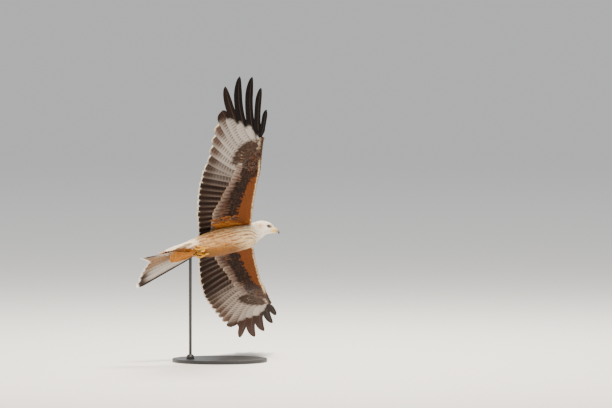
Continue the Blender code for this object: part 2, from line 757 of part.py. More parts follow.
def build_leg(name, sign, cutter):
    """A feathered thigh, the bare shank with its four curled toes, and their claws."""
    out = LEG_SHIFT + sign * LEG_OUT

    def spot(back, aside, below):
        """A point of the foot in the bird's frame."""
        return belly_point(ANKLE_X - back, out + sign * aside, below)

    bm = bmesh.new()
    bmesh.ops.create_uvsphere(bm, u_segments=14, v_segments=8, radius=1.0)
    bmesh.ops.scale(bm, vec=THIGH_HALF_SIZES, verts=bm.verts)
    bmesh.ops.translate(bm, vec=spot(-0.030, 0.002, -0.004), verts=bm.verts)
    thigh = add_object(f"thigh_{name}", mesh_from(f"thigh_{name}", bm), "body_feathers", BIRD)
    cut(thigh, cutter)
    shank_points = [spot(0.0075, 0.0, 0.006), spot(0.018, 0.0, 0.0065), spot(0.031, 0.0, 0.0085)]
    foot = tube(f"foot_{name}", shank_points, (TARSUS_RADIUS, TARSUS_RADIUS * 0.92, TARSUS_RADIUS * 1.15), "yellow_skin")
    for toe, path, _ in TOES:
        points = [spot(*p) for p in path]
        radii = [TOE_RADIUS * r for r in (1.05, 1.0, 0.9, 0.72)]
        piece = tube(f"toe_{name}_{toe}", points, radii, None, BIRD, CUTTERS)
        union = foot.modifiers.new("toe", "BOOLEAN")
        union.operation = "UNION"
        union.solver = "EXACT"
        union.object = piece
        bpy.context.view_layer.update()
        graph = bpy.context.evaluated_depsgraph_get()
        joined = bpy.data.meshes.new_from_object(foot.evaluated_get(graph))
        foot.modifiers.clear()
        foot.data = joined
    cut(thigh, foot)
    cut(foot, cutter)
    for toe, _, claw in TOES:
        points = [spot(*p) for p in claw]
        radii = [CLAW_RADIUS * r for r in (1.0, 0.8, 0.5, 0.16)]
        nail = tube(f"claw_{name}_{toe}", points, radii, "claw")
        cut(nail, foot)
        cut(nail, cutter)


def build_stand():
    """A round steel plate with one rod that goes into the bird's rump."""
    bm = bmesh.new()
    bmesh.ops.create_cone(
        bm, cap_ends=True, segments=64, radius1=BASE_RADIUS, radius2=BASE_RADIUS, depth=BASE_THICKNESS
    )
    bmesh.ops.translate(bm, vec=(0, 0, BASE_THICKNESS / 2), verts=bm.verts)
    base = add_object("stand_base", mesh_from("stand_base", bm), "stand_metal")
    bevel = base.modifiers.new("soft_edge", "BEVEL")
    bevel.width = 0.0015
    bevel.segments = 2
    foot = BASE_THICKNESS + PART_GAP
    for name, radius, bottom, top, finish in (
        ("stand_rod", ROD_RADIUS, foot, ROD_TOP, "stand_metal"),
        ("rod_cutter", ROD_RADIUS + PART_GAP, BASE_THICKNESS, ROD_TOP + PART_GAP, None),
    ):
        bm = bmesh.new()
        bmesh.ops.create_cone(bm, cap_ends=True, segments=24, radius1=radius, radius2=radius, depth=top - bottom)
        collection = KITE if finish else CUTTERS
        rod = add_object(name, mesh_from(name, bm), finish, None, collection)
        rod.location = (ROD_PLACE.x, ROD_PLACE.y, (top + bottom) / 2)
    bore = ROD_RADIUS + PART_GAP
    profile = (
        (COLLAR_RADIUS, foot),
        (COLLAR_RADIUS, foot + COLLAR_HEIGHT * 0.55),
        (COLLAR_RADIUS * 0.72, foot + COLLAR_HEIGHT),
        (bore, foot + COLLAR_HEIGHT),
        (bore, foot),
    )
    bm = bmesh.new()
    corners = [bm.verts.new((r, 0.0, z)) for r, z in profile]
    edges = [bm.edges.new((a, b)) for a, b in zip(corners, corners[1:] + corners[:1])]
    bmesh.ops.spin(
        bm, geom=corners + edges, cent=(0, 0, 0), axis=(0, 0, 1), angle=2 * math.pi, steps=32, use_merge=True
    )
    bmesh.ops.remove_doubles(bm, verts=bm.verts, dist=0.00002)
    collar = add_object("stand_collar", mesh_from("stand_collar", bm), "stand_metal")
    collar.location = (ROD_PLACE.x, ROD_PLACE.y, 0.0)
    return bpy.data.objects["rod_cutter"]


def main():
    """Builds the bird and its stand."""
    cutter = build_flesh()
    build_eyes()
    build_bill()
    wings = (
        Wing("right", -1, -1.0, -4.4, 35.0, -6.3),
        Wing("left", 1, 2.8, 28.8, 18.7, -14.8),
    )
    for wing in wings:
        build_wing(wing, cutter)
    build_tail(cutter)
    for name, sign in (("left", 1), ("right", -1)):
        build_leg(name, sign, cutter)
    rod_cutter = build_stand()
    for held in ("rump", "trunk", "tail_left"):
        cut(bpy.data.objects[held], rod_cutter)
    largest_piece(bpy.data.objects["tail_left"])


main()
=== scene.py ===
"""The looks of a life-size red kite model in banked flight on its display stand.

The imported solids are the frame. One skin takes the place of the solids of flesh, and every feather
is a closed vane of its own: flight feathers, coverts in rows and small contour feathers along the lie.
"""

import logging
import math
from collections.abc import Callable
from dataclasses import dataclass, field
from enum import Enum

import bmesh
import bpy
import numpy as np
from mathutils import Matrix, Vector, kdtree


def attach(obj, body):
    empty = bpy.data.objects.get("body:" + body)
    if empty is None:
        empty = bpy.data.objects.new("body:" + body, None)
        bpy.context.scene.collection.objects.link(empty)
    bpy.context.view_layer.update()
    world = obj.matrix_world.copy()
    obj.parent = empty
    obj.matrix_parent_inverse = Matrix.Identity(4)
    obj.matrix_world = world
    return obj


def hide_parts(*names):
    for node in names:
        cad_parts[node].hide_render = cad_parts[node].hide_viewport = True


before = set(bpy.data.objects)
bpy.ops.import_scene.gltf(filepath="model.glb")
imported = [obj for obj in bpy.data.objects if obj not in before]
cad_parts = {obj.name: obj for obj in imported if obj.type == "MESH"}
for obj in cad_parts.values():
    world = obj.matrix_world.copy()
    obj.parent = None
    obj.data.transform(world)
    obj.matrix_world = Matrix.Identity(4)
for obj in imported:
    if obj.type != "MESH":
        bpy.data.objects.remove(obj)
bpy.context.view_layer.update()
LOG = logging.getLogger("red_kite")
Array = np.ndarray
Piece = bpy.types.Object
Material = bpy.types.Material
Paint = dict[str, Array]
SEED = 20
BODY = "root"

# The bird's own frame in the row's frame: +X forward, +Y to its left wing, +Z out of its back.
SHOULDER_PLACE = Vector((0.08, 0.02, 0.512))
HEADING = math.radians(9.5)
CLIMB = math.radians(7.7)
BANK_LEFT = math.radians(59.0)
BIRD_MATRIX = (
    Matrix.Translation(SHOULDER_PLACE)
    @ Matrix.Rotation(HEADING, 4, "Z")
    @ Matrix.Rotation(-CLIMB, 4, "Y")
    @ Matrix.Rotation(-BANK_LEFT, 4, "X")
)
HEAD_PLACE = Vector((0.104, -0.009, 0.001))
HEAD_MATRIX = (
    Matrix.Translation(BIRD_MATRIX @ HEAD_PLACE)
    @ Matrix.Rotation(math.radians(4.0), 4, "Z")
    @ Matrix.Rotation(math.radians(11.0), 4, "Y")
    @ Matrix.Rotation(math.radians(-8.0), 4, "X")
)

# Body, head, wings and tail as in the solids, in metres.
AXIS_DROP = -0.03
AXIS_SLOPE = math.tan(math.radians(6.0))
BODY_PROFILE = (
    # x, half height, half width
    (-0.300, 0.006, 0.015), (-0.282, 0.012, 0.022), (-0.250, 0.020, 0.028), (-0.218, 0.028, 0.034),
    (-0.190, 0.036, 0.040), (-0.160, 0.044, 0.046), (-0.130, 0.050, 0.050), (-0.095, 0.053, 0.053),
    (-0.060, 0.052, 0.053), (-0.020, 0.051, 0.051), (0.015, 0.048, 0.048), (0.040, 0.045, 0.044),
)
HEAD_PROFILE = (
    # x, top of head, chin, half width
    (-0.024, 0.0262, -0.0590, 0.0310), (-0.014, 0.0272, -0.0500, 0.0275),
    (-0.004, 0.0272, -0.0385, 0.0245), (0.006, 0.0262, -0.0280, 0.0220),
    (0.014, 0.0242, -0.0222, 0.0200), (0.022, 0.0206, -0.0190, 0.0172),
    (0.029, 0.0163, -0.0170, 0.0138), (0.034, 0.0125, -0.0155, 0.0108),
)
EYE_PLACE = Vector((0.0115, 0.0136, 0.008))
EYE_RADIUS = 0.0066
CERE_LENGTH = 0.009
WRIST = (0.262, 0.083)
FRONT_EDGE = (
    (0.020, 0.044), (0.070, 0.053), (0.150, 0.063), (0.235, 0.078), (0.285, 0.087), (0.340, 0.086),
    (0.400, 0.085), (0.466, 0.085),
)
COVERT_LINE = (
    (0.020, -0.120), (0.080, -0.112), (0.133, -0.095), (0.197, -0.058), (0.245, -0.036),
    (0.292, -0.014), (0.345, -0.009), (0.398, -0.005), (0.434, 0.016), (0.452, 0.045), (0.465, 0.072),
)
REAR_EDGE = (
    (0.020, -0.168), (0.070, -0.168), (0.130, -0.171), (0.193, -0.167), (0.250, -0.158),
    (0.300, -0.150), (0.350, -0.141),
)
TAIL_ROOT = np.array((-0.1022, 0.0, -0.0343))
TAIL_DROOP = math.radians(13.5)
TAIL_TWIST = math.radians(14.5)
TAIL_HALF_FAN = math.radians(15.8)
TAIL_EDGE_DROOP = math.radians(43.8)
TAIL_INNER_LENGTH = 0.297
TAIL_OUTER_LENGTH = 0.38

# The photograph's frame, for the camera.
PHOTO_SIZE = (612, 408)
SHOULDER_PIXEL = (239.72, 233.71)
METRES_PER_PIXEL = 0.004


def linear(shade: str) -> tuple[float, float, float]:
    """Turns an sRGB hex colour into linear light.

    Args:
        shade: six hex digits.

    Returns:
        The linear red, green and blue.
    """
    parts = (int(shade[i : i + 2], 16) / 255 for i in (0, 2, 4))
    return tuple(p / 12.92 if p <= 0.04045 else ((p + 0.055) / 1.055) ** 2.4 for p in parts)


def opaque(shade: str) -> tuple[float, ...]:
    """The linear colour of a hex value with full alpha, as a node's colour input takes it."""
    return (*linear(shade), 1.0)


def colour(shade: str) -> Array:
    """The linear colour of a hex value as an array."""
    return np.array(linear(shade))


def smooth(value: Array, low: float, high: float) -> Array:
    """A soft step from 0 at low to 1 at high."""
    share = np.clip((value - low) / (high - low), 0.0, 1.0)
    return share * share * (3 - 2 * share)


def mix(a: Array, b: Array, share: Array) -> Array:
    """Blends two colours by a share per point."""
    return a + (b - a) * np.asarray(share)[..., None]


def along(points: tuple, x: Array) -> Array:
    """Values of a table at x, on a smooth curve through its points.

    Args:
        points: rows of a place and its values, in rising order of place.
        x: the places to read, held within the table.

    Returns:
        One array per x, with the values in its last axis.
    """
    table = np.asarray(points, float)
    knots = table[:, 0]
    last = len(knots) - 1
    i = np.clip(np.searchsorted(knots, x, "right") - 1, 0, last - 1)
    before, after = np.maximum(i - 1, 0), np.minimum(i + 2, last)
    span = (knots[i + 1] - knots[i])[..., None]
    t = np.clip((x - knots[i])[..., None] / span, 0.0, 1.0)
    near, far = table[i, 1:], table[i + 1, 1:]
    rise_in = (far - table[before, 1:]) / (knots[i + 1] - knots[before])[..., None] * span
    rise_out = (table[after, 1:] - near) / (knots[after] - knots[i])[..., None] * span
    t2, t3 = t * t, t * t * t
    leave = (2 * t3 - 3 * t2 + 1) * near + (t3 - 2 * t2 + t) * rise_in
    return leave + (3 * t2 - 2 * t3) * far + (t3 - t2) * rise_out


def edge_at(points: tuple, u: Array) -> Array:
    """The v of one of the wing's outlines at u."""
    return along(points, np.clip(u, points[0][0], points[-1][0]))[..., 0]


def eye_middle(side: "Side") -> Vector:
    """The middle of one eye in the head's frame."""
    return Vector((EYE_PLACE.x, side.value * EYE_PLACE.y, EYE_PLACE.z))


def moved(points: Array, matrix: Matrix = BIRD_MATRIX) -> Array:
    """Points under a matrix, which brings the bird's frame into the row's unless another is given."""
    return points @ np.array(matrix.to_3x3()).T + np.array(matrix.translation)


def path_length(points: Array) -> Array:
    """How far along a path each of its points lies."""
    steps = np.linalg.norm(np.diff(points, axis=0), axis=1)
    return np.concatenate(([0.0], np.cumsum(steps)))


class Side(Enum):
    """The bird's two sides, as the sign of its own Y."""

    LEFT = 1
    RIGHT = -1


class Surface(Enum):
    """The two faces of a wing or tail, as the sign of the lift off its sheet."""

    UPPER = 1
    UNDER = -1


def camber(u: Array, v: Array) -> Array:
    """How far the wing's sheet arches up between its front and rear edge.

    Args:
        u: distances out in the plan.
        v: distances forward in the plan.

    Returns:
        The height of the arch.
    """
    front, rear = edge_at(FRONT_EDGE, u), edge_at(REAR_EDGE, u)
    share = np.clip((front - v) / (front - rear), 0.0, 1.0)
    hand = np.clip((u - 0.25) / 0.15, 0.0, 1.0)
    arch = 0.016 - 0.008 * hand
    outer = np.clip((0.62 - u) / 0.2, 0.0, 1.0)
    return arch * outer * 4 * share * (1 - share) ** 1.3


def flesh_half(u: Array, v: Array) -> Array:
    """Half the wing's thickness with its coverts, at a place of its plan.

    Args:
        u: distances out in the plan.
        v: distances forward in the plan.

    Returns:
        Half the thickness.
    """
    front = edge_at(FRONT_EDGE, u)
    share = np.clip((front - v) / (front - edge_at(COVERT_LINE, u)), 0.0, 1.6)
    root = 0.024 - 0.01 * np.minimum(u / WRIST[0], 1.0)
    outer = 1 - 0.62 * np.clip((u - WRIST[0]) / 0.2, 0.0, 1.0)
    nose = np.sqrt(np.minimum(share / 0.16, 1.0))
    fall = 1 - 0.8 * np.clip(share - 0.16, 0.0, 0.84) / 0.84
    thick = np.maximum(root * outer * nose * fall, 0.003 * nose)
    return 0.5 * thick * (1 - 0.5 * smooth(share, 1.0, 1.5)) * (1 - 0.6 * smooth(u, 0.46, 0.52))


@dataclass
class WingSheet:
    """One wing's bent sheet. Its plan is flat: u runs out from the bird's middle and v forward."""

    side: Side
    arm_rise: float
    hand_rise: float
    tip_curl: float
    sweep: float
    reach: float = 0.8
    steps: int = 160

    def __post_init__(self) -> None:
        """Adds up the spine of the bend."""
        step = self.reach / self.steps
        rise = self.rise((np.arange(self.steps) + 0.5) * step)
        self.knots = np.linspace(0.0, self.reach, self.steps + 1)
        self.out = np.concatenate(([0.0], np.cumsum(np.cos(rise) * step)))
        self.up = np.concatenate(([0.0], np.cumsum(np.sin(rise) * step)))

    def rise(self, u: Array) -> Array:
        """The slope of the sheet at u, in radians.

        Args:
            u: distances out in the plan.

        Returns:
            The slopes.
        """
        share = np.clip((u - WRIST[0] + 0.03) / 0.08, 0.0, 1.0)
        curl = self.tip_curl * np.maximum(u - 0.42, 0.0)
        return np.radians(self.arm_rise + (self.hand_rise - self.arm_rise) * share + curl)

    def place(self, u: Array, v: Array, lift: Array) -> Array:
        """Points of the row's frame.

        Args:
            u: distance out from the bird's middle, in the flat plan.
            v: distance forward in the flat plan.
            lift: height off the sheet, towards the bird's back.

        Returns:
            The points, with their coordinates in the last axis.
        """
        lift = lift + camber(u, v)
        away_u, away_v = u - WRIST[0], v - WRIST[1]
        fan = math.radians(35.0)
        share = smooth(np.arctan2(away_u, -away_v), -fan, fan)
        angle = math.radians(self.sweep) * share
        c, s = np.cos(angle), np.sin(angle)
        u = np.maximum(WRIST[0] + away_u * c + away_v * s, 0.0)
        v = WRIST[1] - away_u * s + away_v * c
        rise = self.rise(u)
        out = np.interp(u, self.knots, self.out) - np.sin(rise) * lift
        up = np.interp(u, self.knots, self.up) + np.cos(rise) * lift
        return moved(np.stack((v, self.side.value * out, up), -1))


@dataclass
class TailSheet:
    """The tail's arched fan. Its plan is flat: p runs back from the root and q to the left."""

    def place(self, p: Array, q: Array, lift: Array) -> Array:
        """Points of the row's frame for the flat plan and a height off the sheet.

        Args:
            p: distances back from the tail's root.
            q: distances to its left.
            lift: heights off the surface.

        Returns:
            The points, with their coordinates in the last axis.
        """
        reach, fan = np.hypot(p, q), np.arctan2(q, p)
        turn = fan / TAIL_HALF_FAN * TAIL_EDGE_DROOP
        rate = TAIL_EDGE_DROOP / TAIL_HALF_FAN
        x = -reach * np.cos(fan)
        y = reach * np.sin(turn) / rate + np.sin(turn) * lift
        z = -reach * (1 - np.cos(turn)) / rate + np.cos(turn) * lift
        turned = Matrix.Rotation(-TAIL_DROOP, 3, "Y") @ Matrix.Rotation(TAIL_TWIST, 3, "X")
        local = np.stack((x, y, z), -1) @ np.array(turned).T
        return moved(TAIL_ROOT + local)


@dataclass
class BodyForm:
    """The rounded surface from the rump to the face, by the distance along it and the turn round it."""

    back_steps: int = 60
    neck_steps: int = 12
    head_steps: int = 40
    back_end: float = -0.3
    neck_end: float = 0.04
    neck_blend: float = 0.055
    neck_swell: float = 0.05
    rows: list[Array] = field(default_factory=list)

    def __post_init__(self) -> None:
        """Tables the middle and the two half axes of every ring, in the bird's frame."""
        self.rows = [self.body_ring(x) for x in np.linspace(-0.36, self.neck_end, self.back_steps)]
        nape, front = self.body_ring(self.neck_end), self.head_ring(HEAD_PROFILE[0][0])
        for share in np.linspace(0.0, 1.0, self.neck_steps)[1:-1]:
            ring = nape + (front - nape) * share
            sizes = [np.linalg.norm(part[1:], axis=1) for part in (nape, front, ring)]
            swell = 1 + self.neck_swell * math.sin(math.pi * share)
            wanted = (sizes[0] * (1 - share) + sizes[1] * share) * swell
            ring[1:] *= (wanted / sizes[2])[:, None]
            self.rows.append(ring)
        ends = HEAD_PROFILE[0][0], HEAD_PROFILE[-1][0]
        self.rows += [self.head_ring(x) for x in np.linspace(*ends, self.head_steps)]
        self.soften_neck()
        self.table = np.array(self.rows)
        self.knots = path_length(self.table[:, 0])
        self.length = float(self.knots[-1])
        self.rump_end = float(self.knots[np.argmax(self.table[:, 0, 0] >= self.back_end)])
        self.neck_start = float(self.knots[self.back_steps - 1])
        self.head_start = float(self.knots[self.back_steps + self.neck_steps - 2])

    def body_ring(self, x: float) -> Array:
        """Middle, half width and half height of the trunk's ring at x.

        Args:
            x: the place along the bird's X.

        Returns:
            The three, one row each, in the bird's frame.
        """
        half_height, half_width = along(BODY_PROFILE, np.array(x))
        middle = (x, 0.0, AXIS_DROP + AXIS_SLOPE * x + 0.1 * max(self.back_end - x, 0.0))
        return np.array((middle, (0.0, half_width, 0.0), (0.0, 0.0, half_height)))

    def head_ring(self, x: float) -> Array:
        """Middle, half width and half height of the head's ring at x of the head's own frame.

        Args:
            x: the place along the head's X.

        Returns:
            The three, one row each, in the bird's frame.
        """
        head = BIRD_MATRIX.inverted() @ HEAD_MATRIX
        top, chin, half_width = along(HEAD_PROFILE, np.array(x))
        middle = (x, 0.0, (top + chin) / 2)
        ring = np.array((middle, (0.0, half_width, 0.0), (0.0, 0.0, (top - chin) / 2)))
        ring = ring @ np.array(head.to_3x3()).T
        ring[0] += np.array(head.translation)
        return ring

    def soften_neck(self) -> None:
        """Blends the rings around the neck with their neighbours, and fills them out a little."""
        table = np.array(self.rows)
        knots = path_length(table[:, 0])
        middle = (knots[self.back_steps - 1] + knots[self.back_steps + self.neck_steps - 2]) / 2
        for index in np.nonzero(np.abs(knots - middle) < self.neck_blend)[0]:
            away = abs(knots[index] - middle)
            spread = 0.016 * (1 - smooth(away, 0.5 * self.neck_blend, self.neck_blend)) + 1e-4
            weight = np.exp(-(((knots - knots[index]) / spread) ** 2)) * np.gradient(knots)
            self.rows[index] = np.tensordot(weight / weight.sum(), table, 1)
            self.rows[index][1:] *= 1 + self.neck_swell * math.exp(-((away / 0.03) ** 2))

    def ring(self, t: Array) -> Array:
        """Middle, half width and half height of the rings at t.

        Args:
            t: distances along the body.

        Returns:
            The three in the bird's frame, as rows in the last two axes.
        """
        flat = self.table.reshape(len(self.table), 9)
        read = [np.interp(t, self.knots, flat[:, k]) for k in range(9)]
        return np.stack(read, -1).reshape(*np.shape(t), 3, 3)

    def bare(self, t: Array, turn: Array) -> Array:
        """Points of the smooth surface in the bird's frame.

        Args:
            t: distances along the body.
            turn: turns round the body, in radians.

        Returns:
            The points, with their coordinates in the last axis.
        """
        ring = self.ring(t)
        aside = ring[..., 1, :] * np.cos(turn)[..., None]
        return ring[..., 0, :] + aside + ring[..., 2, :] * np.sin(turn)[..., None]

    def relief(self, points: Array) -> Array:
        """How far the thighs, brows and eye sockets stand off the smooth surface, in metres.

        Args:
            points: points of the smooth surface in the bird's frame.

        Returns:
            The height at each point.
        """
        rise = np.zeros(points.shape[:-1])
        for side in Side:
            out = -0.006 + side.value * 0.014
            thigh = ((points[..., 0] + 0.112) / 0.046) ** 2 + ((points[..., 1] - out) / 0.015) ** 2
            rise += 0.0075 * np.exp(-1.4 * thigh) * (points[..., 2] < -0.05)
        local = moved(points, (BIRD_MATRIX.inverted() @ HEAD_MATRIX).inverted())
        for side in Side:
            near = local - np.array(eye_middle(side))
            ahead, over = near[..., 0], near[..., 2]
            beside = smooth(side.value * local[..., 1], 0.004, 0.01)
            socket = (ahead**2 + over**2) / 0.0062**2
            brow = (ahead / 0.0105) ** 2 + ((over - 0.0072 - 0.15 * ahead) / 0.003) ** 2
            rise += beside * (0.0019 * np.exp(-brow) - 0.0024 * np.exp(-socket))
            lore = ((ahead - 0.0125) / 0.0065) ** 2 + ((over + 0.002) / 0.0045) ** 2
            rise -= beside * 0.0008 * np.exp(-lore)
        return rise

    def slopes(self, t: Array, turn: Array) -> tuple[Array, Array]:
        """How the smooth surface moves with t and with turn.

        Args:
            t: distances along the body.
            turn: turns round the body, in radians.

        Returns:
            The change of place per unit of t, and per radian.
        """
        step = 0.0008
        fore = self.bare(t + step, turn) - self.bare(t - step, turn)
        side = self.bare(t, turn + step) - self.bare(t, turn - step)
        return fore / (2 * step), side / (2 * step)

    def place(self, t: Array, turn: Array, lift: Array) -> Array:
        """Points of the row's frame at a lift off the surface.

        Args:
            t: distances along the body.
            turn: turns round the body, in radians.
            lift: heights off the surface.

        Returns:
            The points, with their coordinates in the last axis.
        """
        at = self.bare(t, turn)
        fore, side = self.slopes(t, turn)
        normal = np.cross(side, fore)
        normal /= np.maximum(np.linalg.norm(normal, axis=-1, keepdims=True), 1e-12)
        outward = np.sum(normal * (at - self.ring(t)[..., 0, :]), -1, keepdims=True)
        normal *= np.where(outward < 0, -1.0, 1.0)
        return moved(at + normal * (lift + self.relief(at))[..., None])

    def scale(self, t: Array, turn: Array) -> Array:
        """Metres of surface per unit of t and per radian of turn."""
        fore, side = (np.linalg.norm(slope, axis=-1) for slope in self.slopes(t, turn))
        return np.stack((np.maximum(fore, 0.4), np.maximum(side, 0.004)), -1)


@dataclass(frozen=True)
class Blank:
    """The plain closed slab that every vane of one fineness is drawn out of.

    Its steps along the vane are even at a crowd of 0, and bunch up towards the tip at 1.
    """

    across: int
    lengthwise: int
    crowd: float = 0.0

    def make(self) -> tuple[Array, Array]:
        """Builds the slab.

        Returns:
            Its points as (across, along, side) with across and side from -1 to 1, and its faces.
        """
        bm = bmesh.new()
        bmesh.ops.create_grid(bm, x_segments=self.across, y_segments=self.lengthwise, size=1.0)
        bmesh.ops.solidify(bm, geom=bm.verts[:] + bm.edges[:] + bm.faces[:], thickness=1.0)
        bm.verts.index_update()
        points = np.array([v.co for v in bm.verts])
        faces = np.array([[v.index for v in f.verts] for f in bm.faces])
        bm.free()
        even = (points[:, 1] + 1) / 2
        points[:, 1] = even + self.crowd * (np.sin(even * math.pi / 2) - even)
        points[:, 2] = points[:, 2] * 2 + 1
        return points, faces


SMALL = Blank(2, 5, 1.0)
COVERT = Blank(4, 7, 1.0)
FLIGHT = Blank(8, 34, 0.25)


@dataclass
class Tract:
    """A row or field of like feathers on one sheet, one entry per feather in every array.

    A vane's fore side is the one to the left of its heading, and its aft side is as wide unless it says so.
    """

    sheet: Callable[[Array, Array, Array], Array]
    blank: Blank
    root: Array
    heading: Array
    length: Array
    fore_width: Array | float
    paint: Callable[["Drawn"], Paint]
    aft_width: Array | float | None = None
    metric: Array | None = None
    ground: Callable[[Array, Array], Array] | None = None
    surface: Surface = Surface.UPPER
    root_lift: Array | float = 0.0
    tip_lift: Array | float = 0.0
    tilt: float = 0.0
    dome: float = 0.0
    bow: Array | float = 0.0
    thickness: float = 0.0003
    round_from: Array | float = 0.55
    point: float = 2.4
    base_share: float = 0.4
    finger_from: Array | None = None
    finger_width: Array | None = None
    unwrap: Callable[[Array], Array] | None = None


@dataclass
class Drawn:
    """A tract's vanes as drawn: places in the plan and on the vane, one row per feather."""

    plan: Array
    root: Array
    across: Array
    along: Array
    side: Array
    seed: Array


def column(value: Array | float, count: int) -> Array:
    """One value per feather, as a column."""
    return np.broadcast_to(np.asarray(value, float), (count,))[:, None]


def draw(tract: Tract, rng: np.random.Generator) -> tuple[Array, Array, dict[str, Array]]:
    """Draws every vane of a tract out of its blank.

    Args:
        tract: the feathers.
        rng: the seeded source of small differences.

    Returns:
        The points of all vanes, their faces, and their named colours and maps.
    """
    blank, faces = tract.blank.make()
    across, share, side = (blank[None, :, k] for k in range(3))
    count, size = len(tract.root), len(blank)
    length = column(tract.length, count)
    round_from = column(tract.round_from, count)
    base = tract.base_share + (1 - tract.base_share) * smooth(share, 0.0, 0.28)
    close = np.clip((share - round_from) / (1 - round_from), 0.0, 1.0)
    width = base * np.sqrt(np.maximum(1 - close**tract.point, 0.0009))
    aft_width = tract.fore_width if tract.aft_width is None else tract.aft_width
    half = np.where(across > 0, column(tract.fore_width, count), column(aft_width, count))
    if tract.finger_from is not None:
        notch = column(tract.finger_from, count)
        finger = smooth(share, notch - 0.09, notch + 0.03)
        narrow = np.where(across > 0, tract.finger_width[:, :1], tract.finger_width[:, 1:])
        half = half + (narrow - half) * finger
    aside = across * half * width + column(tract.bow, count) * 4 * share * (1 - share)
    forth = length * share
    c, s = np.cos(column(tract.heading, count)), np.sin(column(tract.heading, count))
    step_a, step_b = forth * c - aside * s, forth * s + aside * c
    if tract.metric is not None:
        step_a, step_b = step_a / tract.metric[:, :1], step_b / tract.metric[:, 1:]
    a, b = tract.root[:, :1] + step_a, tract.root[:, 1:] + step_b
    root_lift, tip_lift = column(tract.root_lift, count), column(tract.tip_lift, count)
    lift = root_lift + (tip_lift - root_lift) * share**0.8
    lift = lift - tract.dome * half * across**2 + tract.tilt * across * tract.surface.value
    lift = lift + side * 0.5 * tract.thickness * (1 - 0.5 * share) * (1 - 0.6 * np.abs(across) ** 3)
    ground = tract.ground(a, b) if tract.ground else 0.0
    points = tract.sheet(a, b, tract.surface.value * (ground + lift))
    seed = rng.random(count)
    parts = (across, share, side * tract.surface.value, seed[:, None])
    flat = [np.broadcast_to(part, a.shape) for part in parts]
    drawn = Drawn(np.stack((a, b), -1), np.broadcast_to(tract.root[:, None, :], (*a.shape, 2)), *flat)
    maps = dict(tract.paint(drawn))
    maps["vane"] = np.stack((0.5 + 0.5 * drawn.across, drawn.along), -1)
    maps["span"] = np.stack(np.broadcast_arrays(across * half, forth), -1)
    if tract.unwrap is None:
        strip = (2 * np.arange(count)[:, None] + (side > 0) + 0.5 + 0.44 * across) / (2 * count)
        maps["OFBake"] = np.stack(np.broadcast_arrays(strip, 0.01 + 0.98 * share), -1)
    else:
        patch = np.stack((drawn.across / 2, drawn.along - 0.5), -1) * 0.003
        maps["OFBake"] = np.clip(tract.unwrap(drawn.root) + patch, 0.001, 0.999)
    faces = faces[None] + (np.arange(count) * size)[:, None, None]
    maps = {name: np.asarray(value).reshape(count * size, -1) for name, value in maps.items()}
    return points.reshape(-1, 3), faces.reshape(-1, 4), maps


def marks(streak: Array | float, bars: Array | float, rim: Array | float, seed: Array) -> Array:
    """Packs the strengths of a vane's markings into one colour per point."""
    return np.stack(np.broadcast_arrays(streak, bars, rim, seed), -1)


def coloured(
    tone: Array,
    ink: Array,
    fringe: Array,
    streak: Array | float,
    bars: Array | float,
    rim: Array | float,
    seed: Array,
) -> Paint:
    """A vane's colours and markings under the names that the feathers' material reads.

    Args:
        tone: the ground colour.
        ink: the colour of streak and bars.
        fringe: the colour of the rim.
        streak: the strength of the streak along the shaft.
        bars: the strength of the bars across the vane.
        rim: the strength of the rim.
        seed: one random number per feather.

    Returns:
        The named arrays, one row per point.
    """
    ink, fringe = np.broadcast_to(ink, tone.shape), np.broadcast_to(fringe, tone.shape)
    return {"tone": tone, "ink": ink, "fringe": fringe, "marks": marks(streak, bars, rim, seed)}


class Plumage:
    """Turns tracts into pieces, and remembers each feather's place and colour for the skin."""

    def __init__(self) -> None:
        """Starts with no feathers."""
        self.rng = np.random.default_rng(SEED)
        self.roots: list[Array] = []
        self.tones: list[Array] = []

    def piece(self, name: str, tracts: list[Tract], finish: Material, coat: bool = True) -> Piece:
        """Joins tracts into one piece.

        Args:
            name: the piece's name.
            tracts: the rows and fields of feathers in it.
            finish: the feathers' material.
            coat: whether the skin takes its colours from these feathers.

        Returns:
            The piece, not yet riding on the body.
        """
        points, faces, maps, start = [], [], [], 0
        for tract in tracts:
            drawn, sides, named = draw(tract, self.rng)
            points.append(drawn)
            faces.append(sides + start)
            maps.append(named)
            start += len(drawn)
            if coat:
                size = len(drawn) // len(tract.root)
                middle = size // 2
                self.roots.append(drawn.reshape(-1, size, 3)[:, middle])
                self.tones.append(named["tone"].reshape(-1, size, 3)[:, middle])
        joined = {key: np.concatenate([m[key] for m in maps]) for key in maps[0]}
        mesh = quad_mesh(name, np.concatenate(points), np.concatenate(faces))
        wear_maps(mesh, joined)
        mesh.materials.append(finish)
        made = bpy.data.objects.new(name, mesh)
        bpy.context.scene.collection.objects.link(made)
        return made

    def nearest_tone(self, points: list[Vector]) -> Array:
        """The colour of the coat over each point, from the three nearest feathers.

        Args:
            points: points of the skin.

        Returns:
            One colour per point.
        """
        roots, tones = np.concatenate(self.roots), np.concatenate(self.tones)
        tree = kdtree.KDTree(len(roots))
        for index, place in enumerate(roots):
            tree.insert(place, index)
        tree.balance()
        return np.array([tones[[found[1] for found in tree.find_n(p, 3)]].mean(0) for p in points])


